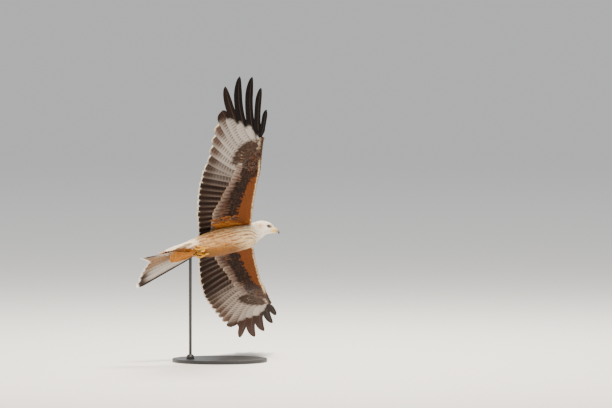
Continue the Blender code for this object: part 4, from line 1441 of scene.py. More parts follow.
@dataclass
class Wing:
    """One wing's feathers: flight feathers, coverts above and below, alula, scapulars and axillaries."""

    sheet: WingSheet
    plumage: Plumage
    flight_finish: Material
    covert_finish: Material
    covert_depth: float = 0.0026
    secondary_count: int = 13

    @property
    def left(self) -> bool:
        """Whether this is the left wing."""
        return self.sheet.side is Side.LEFT

    def flight_paint(self, drawn: Drawn) -> Paint:
        """Colours of the flight feathers, above and below, by their places in the plan.

        Args:
            drawn: the vanes as drawn.

        Returns:
            The vanes' colours and markings.
        """
        u, v = drawn.plan[..., 0], drawn.plan[..., 1]
        share, seed, across, root_u = drawn.along, drawn.seed, drawn.across, drawn.root[..., 0]
        inner_web, inner_edge = smooth(-across, -0.15, 0.25), smooth(-across, 0.55, 0.95)
        flame = 0.016 * np.exp(-(((across + 0.35) / 0.35) ** 2)) - 0.006
        dark_from = along(FINGER_DARK, np.clip(v, -0.11, 0.083))[..., 0] + flame + 0.008 * (seed - 0.5)
        dark_from = dark_from + 0.024 * self.left * smooth(v, -0.05, 0.02)
        finger = smooth(u - dark_from, -0.007, 0.007)
        primary = smooth(root_u, 0.268, 0.276) * smooth(share, 0.02, 0.1) * smooth(root_u, 0.262, 0.33)
        panel = np.clip(primary + 0.4 * smooth(root_u, 0.215, 0.268), 0.0, 1.0)
        near_rear = smooth(share, 0.6, 0.85) * (1 - smooth(root_u, 0.35, 0.375))
        base_pale = (1 - smooth(share, 0.25, 0.6)) * smooth(root_u, 0.08, 0.2)
        below = mix(WINE, BROWN, 0.12 + 0.12 * seed + 0.25 * base_pale)
        below = mix(below, GREY, inner_edge * (0.5 - 0.25 * near_rear))
        window = mix(PANEL, WHITE, 0.22 * smooth(root_u, 0.36, 0.44) + 0.08 * seed)
        window = mix(window, BROWN, near_rear * (0.85 - 0.5 * inner_edge))
        fifth = smooth(root_u, 0.35, 0.356) * (1 - smooth(root_u, 0.366, 0.372))
        # On the left wing the pale window is painted warmer with buff: painted warm bounce light.
        window = mix(mix(window, BUFF, 0.1 * self.left), DUSK, 0.9 * smooth(share, 0.8, 0.9) * fifth)
        below = mix(below, window, panel * (0.4 + 0.6 * inner_web))
        below = mix(below, mix(DUSK, ASH, 0.25), self.carpal(drawn.plan))
        # The left wing's dark ends differ from the right's only by painted light and shade: warmer and
        # browner, and blacker on the outer primaries.
        dark = mix(BLACK, CHESTNUT if self.left else WINE, 0.1 * seed + 0.22)
        dark = mix(dark, BROWN, 0.35 * (1 - smooth(root_u, 0.35, 0.4)) + 0.12 * self.left)
        dark = mix(dark, BLACK, 0.7 * self.left * smooth(root_u, 0.41, 0.43))
        below = mix(below, dark, finger)
        above = mix(DUSK, BROWN, 0.3 * seed + 0.35 * (1 - smooth(u, 0.25, 0.35)))
        above = mix(above, GREY, 0.3 * panel * inner_web * (1 - finger))
        above = mix(above, BLACK, 0.85 * smooth(u - dark_from, -0.1, 0.01))
        upper = smooth(drawn.side, -0.1, 0.1)
        tone = mix(below, above, upper) * wander(seed, 0.09) * FLIGHT_LIGHT
        ink = mix(BLACK, BROWN, 0.6 * panel * (1 - finger) * (1 - upper))
        spot = np.exp(-(((across + 0.38) / 0.26) ** 2))
        plain = smooth(root_u, 0.37, 0.42) * 0.8
        bars = (1 - finger) * smooth(share, 0.06, 0.16) * (1 - plain) * (1 - 0.4 * upper)
        near_base = 1 - 0.75 * smooth(share, 0.35, 0.75)
        bars = bars * (0.8 * spot * panel + 0.6 * near_base * (1 - inner_edge) * (1 - panel))
        rim = 0.95 * (root_u < 0.37) * smooth(share, 0.9, 0.955) * (1 - finger)
        return coloured(tone, ink, mix(WHITE, CREAM, seed), 0.0, bars, rim, seed)

    def flight_feathers(self) -> list[Tract]:
        """The ten primaries, and the secondaries with the tertials.

        Returns:
            The tract of the primaries, and that of the others.
        """
        tips = np.array(PRIMARY_TIPS)
        if self.left:
            tips[FINGERS] = LEFT_OUTER_TIPS
        else:
            tips[:5, 1] += 0.009
        share = np.linspace(0.0, 1.0, len(tips))[:, None]
        roots = np.array((0.275, 0.04)) * (1 - share) + np.array((0.462, 0.076)) * share
        primaries = self.long_vanes(roots, tips, *np.array((PRIMARY_FORE, PRIMARY_AFT, PRIMARY_BOW)))
        primaries.round_from = np.full(len(tips), 0.88)
        primaries.round_from[FINGERS] = 0.56 if self.left else (0.76, 0.76, 0.76, 0.76, 0.74)
        beyond = 2.0
        primaries.finger_from = np.full(len(tips), beyond)
        notch = np.array(FINGER_NOTCH) + 0.026 * self.left
        primaries.finger_from[FINGERS] = (notch - roots[FINGERS, 0]) / (tips - roots)[FINGERS, 0]
        primaries.finger_width = np.full((len(tips), 2), 0.02)
        primaries.finger_width[FINGERS] = np.array(FINGER_HALF) * (1.1 if self.left else 1.0)
        primaries.point = 1.7

        share = np.linspace(0.0, 1.0, self.secondary_count)
        tip_u = 0.026 + 0.316 * share
        roots = np.stack((0.03 + 0.238 * share, -0.045 + 0.085 * share), -1)
        tip_v = edge_at(REAR_EDGE, tip_u) + self.plumage.rng.normal(0, 0.0012, self.secondary_count)
        tapered = 1 - 0.12 * (1 - share)
        tips = np.stack((tip_u, tip_v), -1)
        secondaries = self.long_vanes(roots, tips, 0.0125 * tapered, 0.0235 * tapered, -0.003 * tapered)
        return [primaries, secondaries]

    def long_vanes(self, roots: Array, tips: Array, fore: Array, aft: Array, bow: Array) -> Tract:
        """Flight feathers from roots to tips.

        Args:
            roots: where the quills start, in the plan.
            tips: where the feathers end.
            fore: half width of the outer web.
            aft: half width of the inner web.
            bow: how far the middle stands off the straight line.

        Returns:
            The tract of these feathers.
        """
        run = tips - roots
        return Tract(
            sheet=self.sheet.place, blank=FLIGHT, root=roots, heading=np.arctan2(run[:, 1], run[:, 0]),
            length=np.linalg.norm(run, axis=1), fore_width=fore, aft_width=aft, paint=self.flight_paint,
            tilt=0.0009, dome=0.02, bow=bow, thickness=0.0006, round_from=0.9, base_share=0.3,
        )

    def carpal(self, plan: Array) -> Array:
        """How far each place of the plan lies inside the dark patch at the wrist, from 0 to 1.

        Args:
            plan: places in the plan.

        Returns:
            The share of the patch's colour.
        """
        (middle_u, middle_v), (half_u, half_v) = CARPAL_PATCH
        u, v = plan[..., 0], plan[..., 1]
        out = u - middle_u - 0.012 * self.left
        ragged = 0.07 * np.sin(u * 230 + v * 120) + 0.06 * np.sin(v * 310 - u * 90)
        return smooth(np.hypot(out / half_u, (v - middle_v - 0.45 * out) / half_v) + ragged, 1.08, 0.88)

    def under_paint(self, drawn: Drawn, u: Array, v: Array, greater: bool) -> Paint:
        """Colours of the underwing coverts by the places of their tips.

        Args:
            drawn: the row's vanes.
            u: their tips' distance out.
            v: their tips' distance forward.
            greater: whether this is the hindmost row.

        Returns:
            The feathers' colours and strengths of marking.
        """
        seed, carpal = drawn.seed, self.carpal(drawn.plan)
        jitter = 0.01 * (seed - 0.5)
        front = edge_at(FRONT_EDGE, u)
        rufous = smooth(v + jitter - edge_at(RUFOUS_REAR, u), -0.004, 0.005) * smooth(u, 0.385, 0.365)
        black = smooth(v + jitter - edge_at(BLACK_REAR, u), -0.006, 0.003)
        pale = smooth(u + jitter, 0.408, 0.42) * (1 - carpal) * smooth(front - v, 0.009, 0.014)
        flank = smooth(u, 0.085, 0.04)
        blotch = smooth(np.sin(seed * 40) + 3 * smooth(u, 0.33, 0.25) - 4 * smooth(u, 0.1, 0.07), -0.6, 0.4)
        tone = mix(mix(BROWN, ASH, seed), GREY, 0.45 * smooth(u, 0.23, 0.3))
        tone = mix(tone, mix(BLACK, DUSK, 0.6 * seed), black * (0.35 + 0.65 * blotch))
        tone = mix(tone, mix(RUFOUS, CHESTNUT, 0.9 * seed - 0.2), rufous)
        tone = mix(tone, mix(DUSK, ASH, 0.1 + 0.3 * seed), carpal)
        speck = smooth(u, 0.27, 0.3) * smooth(u, 0.4, 0.38) * (np.sin(seed * 57) > 0.35) * (not greater)
        tone = mix(tone, mix(RUFOUS, CHESTNUT, seed), 0.7 * speck * smooth(v, 0.03, 0.05))
        tone = mix(tone, mix(PANEL, CREAM, 0.5 * seed), pale)
        tone = mix(tone, mix(RUFOUS, ORANGE, seed), flank * 0.85)
        # A cream line along the inner wing's front edge: painted highlight where the rounded edge catches
        # the light.
        edge = smooth(v - front, -0.012, -0.0095) * smooth(u, 0.37, 0.34)
        tone = mix(tone, CREAM, 0.9 * edge)
        ink = mix(BLACK, CHESTNUT, np.maximum(rufous, pale))
        plain = (1 - rufous) * (1 - pale)
        if greater:
            end = drawn.along
            tone = mix(tone, GREY, 0.7 * smooth(end, 0.5, 0.85) * (1 - carpal) * (1 - pale))
            fringe = mix(mix(PANEL, mix(TAN, CREAM, seed), 0.7), TAN, carpal)
            rim = (0.35 + 0.17 * np.sin(seed * 31)) * (1 - smooth(carpal, 0.0, 0.3)) * (1 - 0.5 * flank)
            rim = rim * (1 - 0.7 * smooth(u, 0.27, 0.31)) * (0.15 + 0.85 * smooth(end, 0.72, 0.9))
        else:
            fringe = mix(mix(CHESTNUT, TAN, seed**2), CREAM, pale)
            rim = (0.2 + 0.25 * plain * (1 - black)) * (1 - 0.7 * carpal)
        streak = (0.1 if greater else 0.3) * plain * (1 - carpal) + 0.12 * rufous
        tone = tone * wander(seed, 0.14) * UNDER_COVERT_LIGHT
        return coloured(tone, ink, fringe, streak, 0.2 * pale, rim, seed)

    def covert_paint(self, drawn: Drawn, surface: Surface, greater: bool, hand: bool) -> Paint:
        """Colours of one row of coverts, by their tips' places in the plan.

        Args:
            drawn: the vanes as drawn.
            surface: which face it lies on.
            greater: whether it is the hindmost row.
            hand: whether it is on the hand, not the arm.

        Returns:
            The vanes' colours and markings.
        """
        seed = drawn.seed
        u, v = (np.broadcast_to(drawn.plan[:, -1:, k], seed.shape) for k in (0, 1))
        if surface is Surface.UNDER:
            return self.under_paint(drawn, u, v, greater)
        front = edge_at(FRONT_EDGE, u)
        share = (front - v) / (front - edge_at(COVERT_LINE, u))
        band = smooth(share, 0.3, 0.5) * (not hand) * (not greater)
        tone = mix(CHESTNUT, BROWN, seed)
        tone = mix(tone, mix(TAN, BUFF, seed), 0.75 * band)
        tone = mix(tone, DUSK, 0.75 * (greater or hand)) * wander(seed, 0.12)
        fringe = mix(TAN, CREAM, 0.8 if greater else 0.35)
        streak, rim = 0.3 if greater else 0.45, 0.5 if hand else 0.85
        return coloured(tone, BLACK, fringe, streak, 0.25 * greater, rim, seed)

    def covert_row(self, kind: "CovertRow", surface: Surface, hand: bool) -> Tract:
        """One row of coverts along the arm or the hand.

        Args:
            kind: the row's place and its feathers' size.
            surface: which face of the wing it lies on.
            hand: whether it is on the hand, not the arm.

        Returns:
            The tract of that row.
        """
        rng = self.plumage.rng
        start, end = HAND_COVERTS if hand else ARM_COVERTS
        count = max(int((end - start) / (kind.half * (1.0 if hand else 1.15))), 4)
        u = np.clip(np.linspace(start, end, count) + rng.normal(0.0, 0.0012, count), start, COVERTS_END)
        front = edge_at(FRONT_EDGE, u)
        chord = front - edge_at(COVERT_LINE, u)
        tip = np.stack((u, front - chord * kind.tip + rng.normal(0.0, 0.0016, count)), -1)
        length = np.clip(chord * kind.reach, 0.009, 0.052) * rng.uniform(0.88, 1.14, count)
        lie = np.radians(along(COVERT_LIE, u)[..., 0])
        angle = lie + rng.normal(0.0, 0.03 if kind.greater else 0.08, count)
        root = tip - length[:, None] * np.stack((np.cos(angle), np.sin(angle)), -1)
        root[:, 1] = np.minimum(root[:, 1], edge_at(FRONT_EDGE, root[:, 0]) - 0.0006)
        run = tip - root
        length = np.maximum(np.linalg.norm(run, axis=1), 0.004)
        return Tract(
            sheet=self.sheet.place, blank=COVERT if kind.half > 0.0065 else SMALL, root=root,
            heading=np.arctan2(run[:, 1], run[:, 0]), length=length,
            fore_width=np.minimum(kind.half * rng.uniform(0.92, 1.08, count), length * 0.55),
            paint=lambda drawn: self.covert_paint(drawn, surface, kind.greater, hand), ground=flesh_half,
            surface=surface, root_lift=-self.covert_depth,
            tip_lift=0.0002 + rng.normal(0.0, 0.0001, count), tilt=0.0003, dome=0.06,
            round_from=0.7 if kind.greater else 0.5, point=2.1,
            unwrap=lambda place: self.unwrap(place, surface),
        )

    def unwrap(self, root: Array, surface: Surface) -> Array:
        """The place of a root on the unwrapped skin of the wing."""
        half = 0.0 if surface is Surface.UNDER else 0.5
        return np.stack((root[..., 0] / self.sheet.reach, half + (root[..., 1] + 0.2) / 0.6), -1)

    def long_coverts(self, surface: Surface) -> Tract:
        """Scapulars over the shoulder, or axillaries in the armpit.

        Args:
            surface: upper for scapulars, under for axillaries.

        Returns:
            The tract of these long feathers.
        """
        rng = self.plumage.rng
        upper = surface is Surface.UPPER
        v = np.arange(0.02, -0.09, -0.011) if upper else np.arange(0.028, -0.046, -0.009)
        roots, lengths = [], []
        for u, length in SCAPULARS if upper else AXILLARIES:
            roots.append(np.stack((u + rng.normal(0, 0.002, len(v)), v), -1))
            lengths.append(length * rng.uniform(0.85, 1.1, len(v)))
        root = np.concatenate(roots)
        lie = np.radians(-92.0 + (root[:, 0] - 0.02) * (140 if upper else 420))

        def paint(drawn: Drawn) -> Paint:
            """Brown with dark middles and pale edges above, plain buff and rufous below.

            Args:
                drawn: the vanes as drawn.

            Returns:
                The vanes' colours and markings.
            """
            seed = drawn.seed
            if upper:
                return coloured(mix(CHESTNUT, BROWN, seed), DUSK, BUFF, 0.6, 0.0, 0.7, seed)
            outer = smooth(drawn.root[..., 0], 0.044, 0.062)
            inner = 1 - smooth(drawn.root[..., 0], 0.042, 0.054)
            tone = mix(mix(RUFOUS, ORANGE, 0.7 * seed), BROWN, outer * (seed > 0.4))
            tone = mix(tone, mix(ORANGE, BUFF, 0.7 * seed), 0.9 * inner)
            ink, fringe = mix(RUFOUS, DUSK, outer), mix(BUFF, CREAM, outer * seed)
            return coloured(tone, ink, fringe, 0.2, 0.0, 0.15, seed)

        return Tract(
            sheet=self.sheet.place, blank=COVERT, root=root,
            heading=lie + rng.normal(0.0, 0.07, len(root)), length=np.concatenate(lengths),
            fore_width=0.0105 if upper else 0.0062, paint=paint, ground=flesh_half, surface=surface,
            root_lift=-0.002, tip_lift=0.0022 if upper else 0.001, dome=0.1,
            round_from=0.6 if upper else 0.4, thickness=0.0004,
            unwrap=lambda place: self.unwrap(place, surface),
        )

    def alula(self) -> Tract:
        """The thumb's stiff feathers along the front of the hand.

        Returns:
            The tract of these feathers.
        """
        root = np.array(((0.276, 0.074), (0.277, 0.079), (0.279, 0.083)))
        run = np.array(((0.352, 0.06), (0.368, 0.069), (0.352, 0.078))) - root
        turn = self.plumage.rng.normal(0.0, 0.01, len(root))
        return Tract(
            sheet=self.sheet.place, blank=COVERT, root=root,
            heading=np.arctan2(run[:, 1], run[:, 0]) + turn, length=np.linalg.norm(run, axis=1),
            fore_width=0.0055, aft_width=0.0095,
            paint=lambda drawn: self.flight_paint(drawn) | {"marks": marks(0.0, 0.0, 0.0, drawn.seed)},
            ground=flesh_half, root_lift=-0.001, tip_lift=0.0022, tilt=0.0004, dome=0.08,
            thickness=0.0004, round_from=0.6, unwrap=lambda place: self.unwrap(place, Surface.UPPER),
        )

    def build(self) -> dict[str, Piece]:
        """The pieces of this wing by kind.

        Returns:
            The flight feathers and both faces' coverts.
        """
        name = f"wing_{self.sheet.side.name.lower()}"
        draw_piece = self.plumage.piece
        tracts = self.flight_feathers()
        quills = draw_piece(f"{name}_flight_feathers", tracts, self.flight_finish, coat=False)
        pieces = {"flight_feathers": quills}
        for surface in Surface:
            tracts = [self.covert_row(kind, surface, hand) for hand in (False, True) for kind in COVERT_ROWS]
            tracts.append(self.long_coverts(surface))
            if surface is Surface.UPPER:
                tracts.append(self.alula())
            kind = f"coverts_{surface.name.lower()}"
            pieces[kind] = draw_piece(f"{name}_{kind}", tracts, self.covert_finish)
        return pieces


@dataclass(frozen=True)
class CovertRow:
    """A row of coverts: where its tips lie between front edge and covert line, and its feathers' size."""

    tip: float
    reach: float
    half: float
    greater: bool = False


COVERT_ROWS = (
    CovertRow(1.0, 0.46, 0.013, True),
    CovertRow(0.76, 0.34, 0.0095),
    CovertRow(0.63, 0.28, 0.0085),
    CovertRow(0.52, 0.23, 0.0072),
    CovertRow(0.43, 0.19, 0.0062),
    CovertRow(0.35, 0.16, 0.0056),
    CovertRow(0.28, 0.14, 0.0052),
    CovertRow(0.22, 0.12, 0.0048),
    CovertRow(0.16, 0.1, 0.0044),
    CovertRow(0.11, 0.09, 0.004),
    CovertRow(0.065, 0.07, 0.0036),
    CovertRow(0.028, 0.05, 0.003),
)


@dataclass
class Tail:
    """The twelve tail feathers and the long coverts over and under their bases."""

    sheet: TailSheet
    plumage: Plumage
    flight_finish: Material
    covert_finish: Material
    pairs: int = 6
    quill_start: float = 0.075

    def paint(self, drawn: Drawn) -> Paint:
        """Rufous above with dark corners, pale below with a dusky band, and white tips.

        Args:
            drawn: the vanes as drawn.

        Returns:
            The vanes' colours and markings.
        """
        share, seed = drawn.along, drawn.seed
        fan = np.arctan2(drawn.root[..., 1], drawn.root[..., 0]) / TAIL_HALF_FAN
        aside, right = np.abs(fan), fan < 0
        outmost = smooth(aside, 0.8, 0.95)
        outward = drawn.across * np.sign(fan)
        outer_web = smooth(outward, 0.05, 0.35)
        upper = smooth(drawn.side, -0.1, 0.1)
        before_tip = 1 - smooth(share, 0.945, 0.965)
        band = smooth(share, 0.72, 0.88) * before_tip
        above = mix(ORANGE, RUFOUS, 0.6 * seed)
        corner, haze = 0.85 * outmost * outer_web, 0.45 * band * smooth(aside, 0.3, 0.9)
        above = mix(above, DUSK, np.maximum(corner, haze))
        centre = 1 - smooth(aside, 0.35, 0.85)
        below = mix(PANEL, TAN, 0.05 + 0.6 * centre * smooth(share, 0.2, 0.6))
        below = mix(below, WHITE, 0.4 * (1 - centre) * (1 - outer_web * outmost) * (1 - band))
        below = mix(below, BROWN, 0.8 * np.exp(-((outward - 0.1) ** 2) / 0.05) * smooth(share, 0.25, 0.55))
        smudge_start = np.where(right, 0.64, 0.78)
        smudge = smooth(share, smudge_start, smudge_start + 0.12) * before_tip
        smudge = smudge * smooth(aside, np.where(right, 0.45, 0.6), 0.8)
        below = mix(below, DUSK, np.maximum(0.55 * band * smooth(outward, -0.7, 0.2), 0.95 * smudge))
        below = mix(below, BLACK, outmost * smooth(outward, -0.05, 0.2) * 0.9)
        tone = mix(below, above, upper) * wander(seed, 0.05) * TAIL_LIGHT
        tone = mix(tone, WHITE, 0.95 * smooth(share, 0.958, 0.972))
        bars = 0.2 + 0.12 * upper - 0.12 * outmost * (1 - upper)
        bars = bars * smooth(share, 0.12, 0.25) * (share < 0.94)
        return coloured(tone, mix(ASH, DUSK, upper), WHITE, 0.0, bars, smooth(share, 0.9, 0.94), seed)

    def feathers(self) -> Tract:
        """The twelve tail feathers.

        Returns:
            The tract of these feathers.
        """
        share = (np.arange(self.pairs) + 0.5) / (self.pairs - 0.35)
        share = np.concatenate((-share[::-1], share))
        aside = np.abs(share)
        fan = share * TAIL_HALF_FAN * 0.985
        longer = TAIL_OUTER_LENGTH - TAIL_INNER_LENGTH
        tip = TAIL_INNER_LENGTH + longer * np.minimum(aside, 1.0) ** 1.25
        outer, inner = np.full(len(fan), 0.011), 0.0185
        outer[[0, -1]] = 0.0065
        left = fan > 0
        return Tract(
            sheet=lambda p, q, lift: self.sheet.place(p, q, lift - 0.0012 * smooth(np.abs(q), 0.0, 0.09)),
            blank=FLIGHT, root=self.quill_start * np.stack((np.cos(fan), np.sin(fan)), -1), heading=fan,
            length=tip - self.quill_start, fore_width=np.where(left, outer, inner),
            aft_width=np.where(left, inner, outer), paint=self.paint, dome=0.03,
            root_lift=-0.0006 * (aside * self.pairs), tip_lift=-0.0006 * (aside * self.pairs),
            thickness=0.0006, round_from=0.93, base_share=0.35,
        )

    def coverts(self, surface: Surface) -> Tract:
        """Long coverts that spread over the tail's base.

        Args:
            surface: which face it lies on.

        Returns:
            The tract of these feathers.
        """
        rng = self.plumage.rng
        roots, lengths = [], []
        upper = surface is Surface.UPPER
        ends, last = ((-0.8, 0.76), (0.182, 11, 0.06)) if upper else ((-0.92, 0.5), (0.164, 11, 0.034))
        for reach, count, length in ((0.11, 9, 0.06), (0.13, 11, 0.052), (0.148, 12, 0.044), last):
            fan = np.linspace(*ends, count) * TAIL_HALF_FAN + rng.normal(0, 0.012, count)
            roots.append(reach * np.stack((np.cos(fan), np.sin(fan)), -1))
            lengths.append(length * rng.uniform(0.85, 1.1, count))
        root = np.concatenate(roots)

        def paint(drawn: Drawn) -> Paint:
            """Orange to rufous above and orange to tan below, with cream on the right.

            Args:
                drawn: the vanes as drawn.

            Returns:
                The vanes' colours and markings.
            """
            seed, q = drawn.seed, drawn.root[..., 1]
            pale = mix(CREAM, WHITE, 0.7 * seed)
            if upper:
                right = smooth(-q, 0.01, 0.024)
                tone, fringe = mix(mix(ORANGE, RUFOUS, seed), pale, right), mix(BUFF, CREAM, right)
                streak = 0.35 * (1 - right)
            else:
                left = smooth(q, -0.052, -0.04)
                tone = mix(pale, mix(ORANGE, TAN, 0.35 + 0.65 * seed), left)
                fringe, streak = mix(CREAM, mix(BUFF, TAN, 0.5), left), 0.1
            return coloured(tone, mix(CHESTNUT, RUFOUS, seed), fringe, streak, 0.0, 0.5, seed)

        return Tract(
            sheet=self.sheet.place, blank=COVERT, root=root,
            heading=np.arctan2(root[:, 1], root[:, 0]) * 1.1 + rng.normal(0.0, 0.03, len(root)),
            length=np.concatenate(lengths), fore_width=0.01, paint=paint,
            ground=lambda p, q: 0.003 + 0.016 * smooth(-p, -0.215, -0.13), surface=surface,
            root_lift=-0.001, tip_lift=0.0012, dome=0.1, thickness=0.0004,
            unwrap=lambda place: place / 0.4 + (0.0, 0.75 if upper else 0.25),
        )

    def build(self) -> list[Piece]:
        """The tail's two pieces.

        Returns:
            The feathers, and their coverts.
        """
        return [
            self.plumage.piece("tail_feathers", [self.feathers()], self.flight_finish, coat=False),
            self.plumage.piece("tail_coverts", [self.coverts(s) for s in Surface], self.covert_finish),
        ]


def loft(stations: list[Matrix], segments: int) -> bmesh.types.BMesh:
    """A closed skin through circles.

    Args:
        stations: for each circle, the matrix that shapes and places the unit circle.
        segments: how many points each circle has.

    Returns:
        The mesh, with a float layer named reach that runs from 0 at the first circle to 1 at the last.
    """
    bm = bmesh.new()
    reach = bm.verts.layers.float.new("reach")
    verts = bmesh.ops.create_circle(bm, cap_ends=True, radius=1.0, segments=segments)["verts"]
    bmesh.ops.transform(bm, matrix=stations[0], verts=verts)
    edges = list({edge for vert in verts for edge in vert.link_edges})
    for index, (last, matrix) in enumerate(zip(stations, stations[1:])):
        made = bmesh.ops.extrude_edge_only(bm, edges=edges)["geom"]
        verts = [part for part in made if isinstance(part, bmesh.types.BMVert)]
        edges = [part for part in made if isinstance(part, bmesh.types.BMEdge)]
        edges = [edge for edge in edges if all(vert in verts for vert in edge.verts)]
        bmesh.ops.transform(bm, matrix=matrix @ last.inverted(), verts=verts)
        for vert in verts:
            vert[reach] = (index + 1) / (len(stations) - 1)
    bmesh.ops.contextual_create(bm, geom=edges)
    bmesh.ops.recalc_face_normals(bm, faces=bm.faces)
    return bm


def finished(name: str, bm: bmesh.types.BMesh, matrix: Matrix, finish: Material) -> Piece:
    """Places a mesh in the row's frame as one smooth piece with a finish.

    Args:
        name: the piece's name.
        bm: its mesh, which is used up.
        matrix: its place.
        finish: its material.

    Returns:
        The piece.
    """
    mesh = bpy.data.meshes.new(name)
    bmesh.ops.transform(bm, matrix=matrix, verts=bm.verts)
    bm.to_mesh(mesh)
    bm.free()
    mesh.shade_smooth()
    mesh.set_sharp_from_angle(angle=math.radians(55))
    mesh.materials.append(finish)
    made = bpy.data.objects.new(name, mesh)
    bpy.context.scene.collection.objects.link(made)
    return made


def ring_matrix(middle: Vector, ahead: Vector, side: Vector, half_side: float, half_up: float) -> Matrix:
    """The matrix that lays the unit circle across a direction.

    Args:
        middle: the circle's centre.
        ahead: the direction that the circle faces.
        side: roughly the direction of the circle's own X.
        half_side: half its size along that.
        half_up: half its size across that.

    Returns:
        The matrix.
    """
    ahead = ahead.normalized()
    up = ahead.cross(side).normalized()
    side = up.cross(ahead)
    axes = Matrix((side * half_side, up * half_up, ahead)).transposed().to_4x4()
    return Matrix.Translation(middle) @ axes


@dataclass
class Skin:
    """One skin under the whole coat: body, head and the fleshy front of both wings."""

    form: BodyForm
    wings: list[WingSheet]
    plumage: Plumage
    finish: Material
    inset: float = 0.003
    face_inset: float = 0.0011
    rings: int = 150
    points: int = 64

    def body(self) -> Piece:
        """The body's own closed shape.

        Returns:
            The body, not yet joined with the wings.
        """
        form = self.form
        stops = np.concatenate(
            (
                np.linspace(form.rump_end, form.head_start, self.rings // 2),
                np.linspace(form.head_start, form.length, self.rings // 2)[1:],
            )
        )
        bm = bmesh.new()
        bmesh.ops.create_cone(bm, cap_ends=False, segments=self.points, radius1=1.0, radius2=1.0, depth=2.0)
        long_edges = [e for e in bm.edges if abs(e.verts[0].co.z - e.verts[1].co.z) > 1.0]
        bmesh.ops.subdivide_edges(bm, edges=long_edges, cuts=len(stops) - 2, use_grid_fill=True)
        places = np.array([v.co for v in bm.verts])
        index = np.rint((places[:, 2] + 1) / 2 * (len(stops) - 1)).astype(int)
        t = stops[index]
        turn = np.arctan2(places[:, 1], places[:, 0])
        near_face = smooth(t - form.head_start, -0.02, 0.03)
        depth = self.inset + (self.face_inset - self.inset) * near_face
        made = form.place(t, turn, -depth)
        for vert, place in zip(bm.verts, made):
            vert.co = place
        bmesh.ops.holes_fill(bm, edges=bm.edges, sides=self.points)
        bmesh.ops.recalc_face_normals(bm, faces=bm.faces)
        return finished("skin", bm, Matrix.Identity(4), self.finish)

    def wing(self, sheet: WingSheet) -> Piece:
        """The fleshy front of one wing as a closed slab, from inside the trunk to the end of the hand.

        Args:
            sheet: the wing's sheet.

        Returns:
            The slab, not yet joined.
        """
        bm = bmesh.new()
        bmesh.ops.create_grid(bm, x_segments=14, y_segments=46, size=1.0)
        bmesh.ops.solidify(bm, geom=bm.verts[:] + bm.edges[:] + bm.faces[:], thickness=1.0)
        places = np.array([v.co for v in bm.verts])
        share, out, side = (places[:, 0] + 1) / 2, (places[:, 1] + 1) / 2, places[:, 2] * 2 + 1
        u = 0.022 + out * 0.43
        front, rear = edge_at(FRONT_EDGE, u), edge_at(COVERT_LINE, u)
        v = front - 0.0025 - (front - rear - 0.006) * share**1.4
        half = np.maximum(flesh_half(u, v) - 0.0022, 0.0006)
        made = sheet.place(u, v, side * half)
        for vert, place in zip(bm.verts, made):
            vert.co = place
        bmesh.ops.recalc_face_normals(bm, faces=bm.faces)
        return finished(f"wing_flesh_{sheet.side.name.lower()}", bm, Matrix.Identity(4), self.finish)

    def build(self) -> Piece:
        """The body joined with both wings, in the coat's colours.

        Returns:
            The skin.
        """
        skin = self.body()
        for sheet in self.wings:
            slab = self.wing(sheet)
            union = skin.modifiers.new("union", "BOOLEAN")
            union.operation = "UNION"
            union.solver = "EXACT"
            union.object = slab
            bpy.context.view_layer.update()
            graph = bpy.context.evaluated_depsgraph_get()
            joined = bpy.data.meshes.new_from_object(skin.evaluated_get(graph))
            skin.modifiers.clear()
            skin.data = joined
            bpy.data.objects.remove(slab)
        mesh = skin.data
        mesh.shade_smooth()
        mesh.materials.clear()
        mesh.materials.append(self.finish)
        mesh.polygons.foreach_set("material_index", np.zeros(len(mesh.polygons), np.int32))
        tones = self.plumage.nearest_tone([v.co for v in mesh.vertices])
        wear_maps(mesh, {"tone": tones})
        return skin


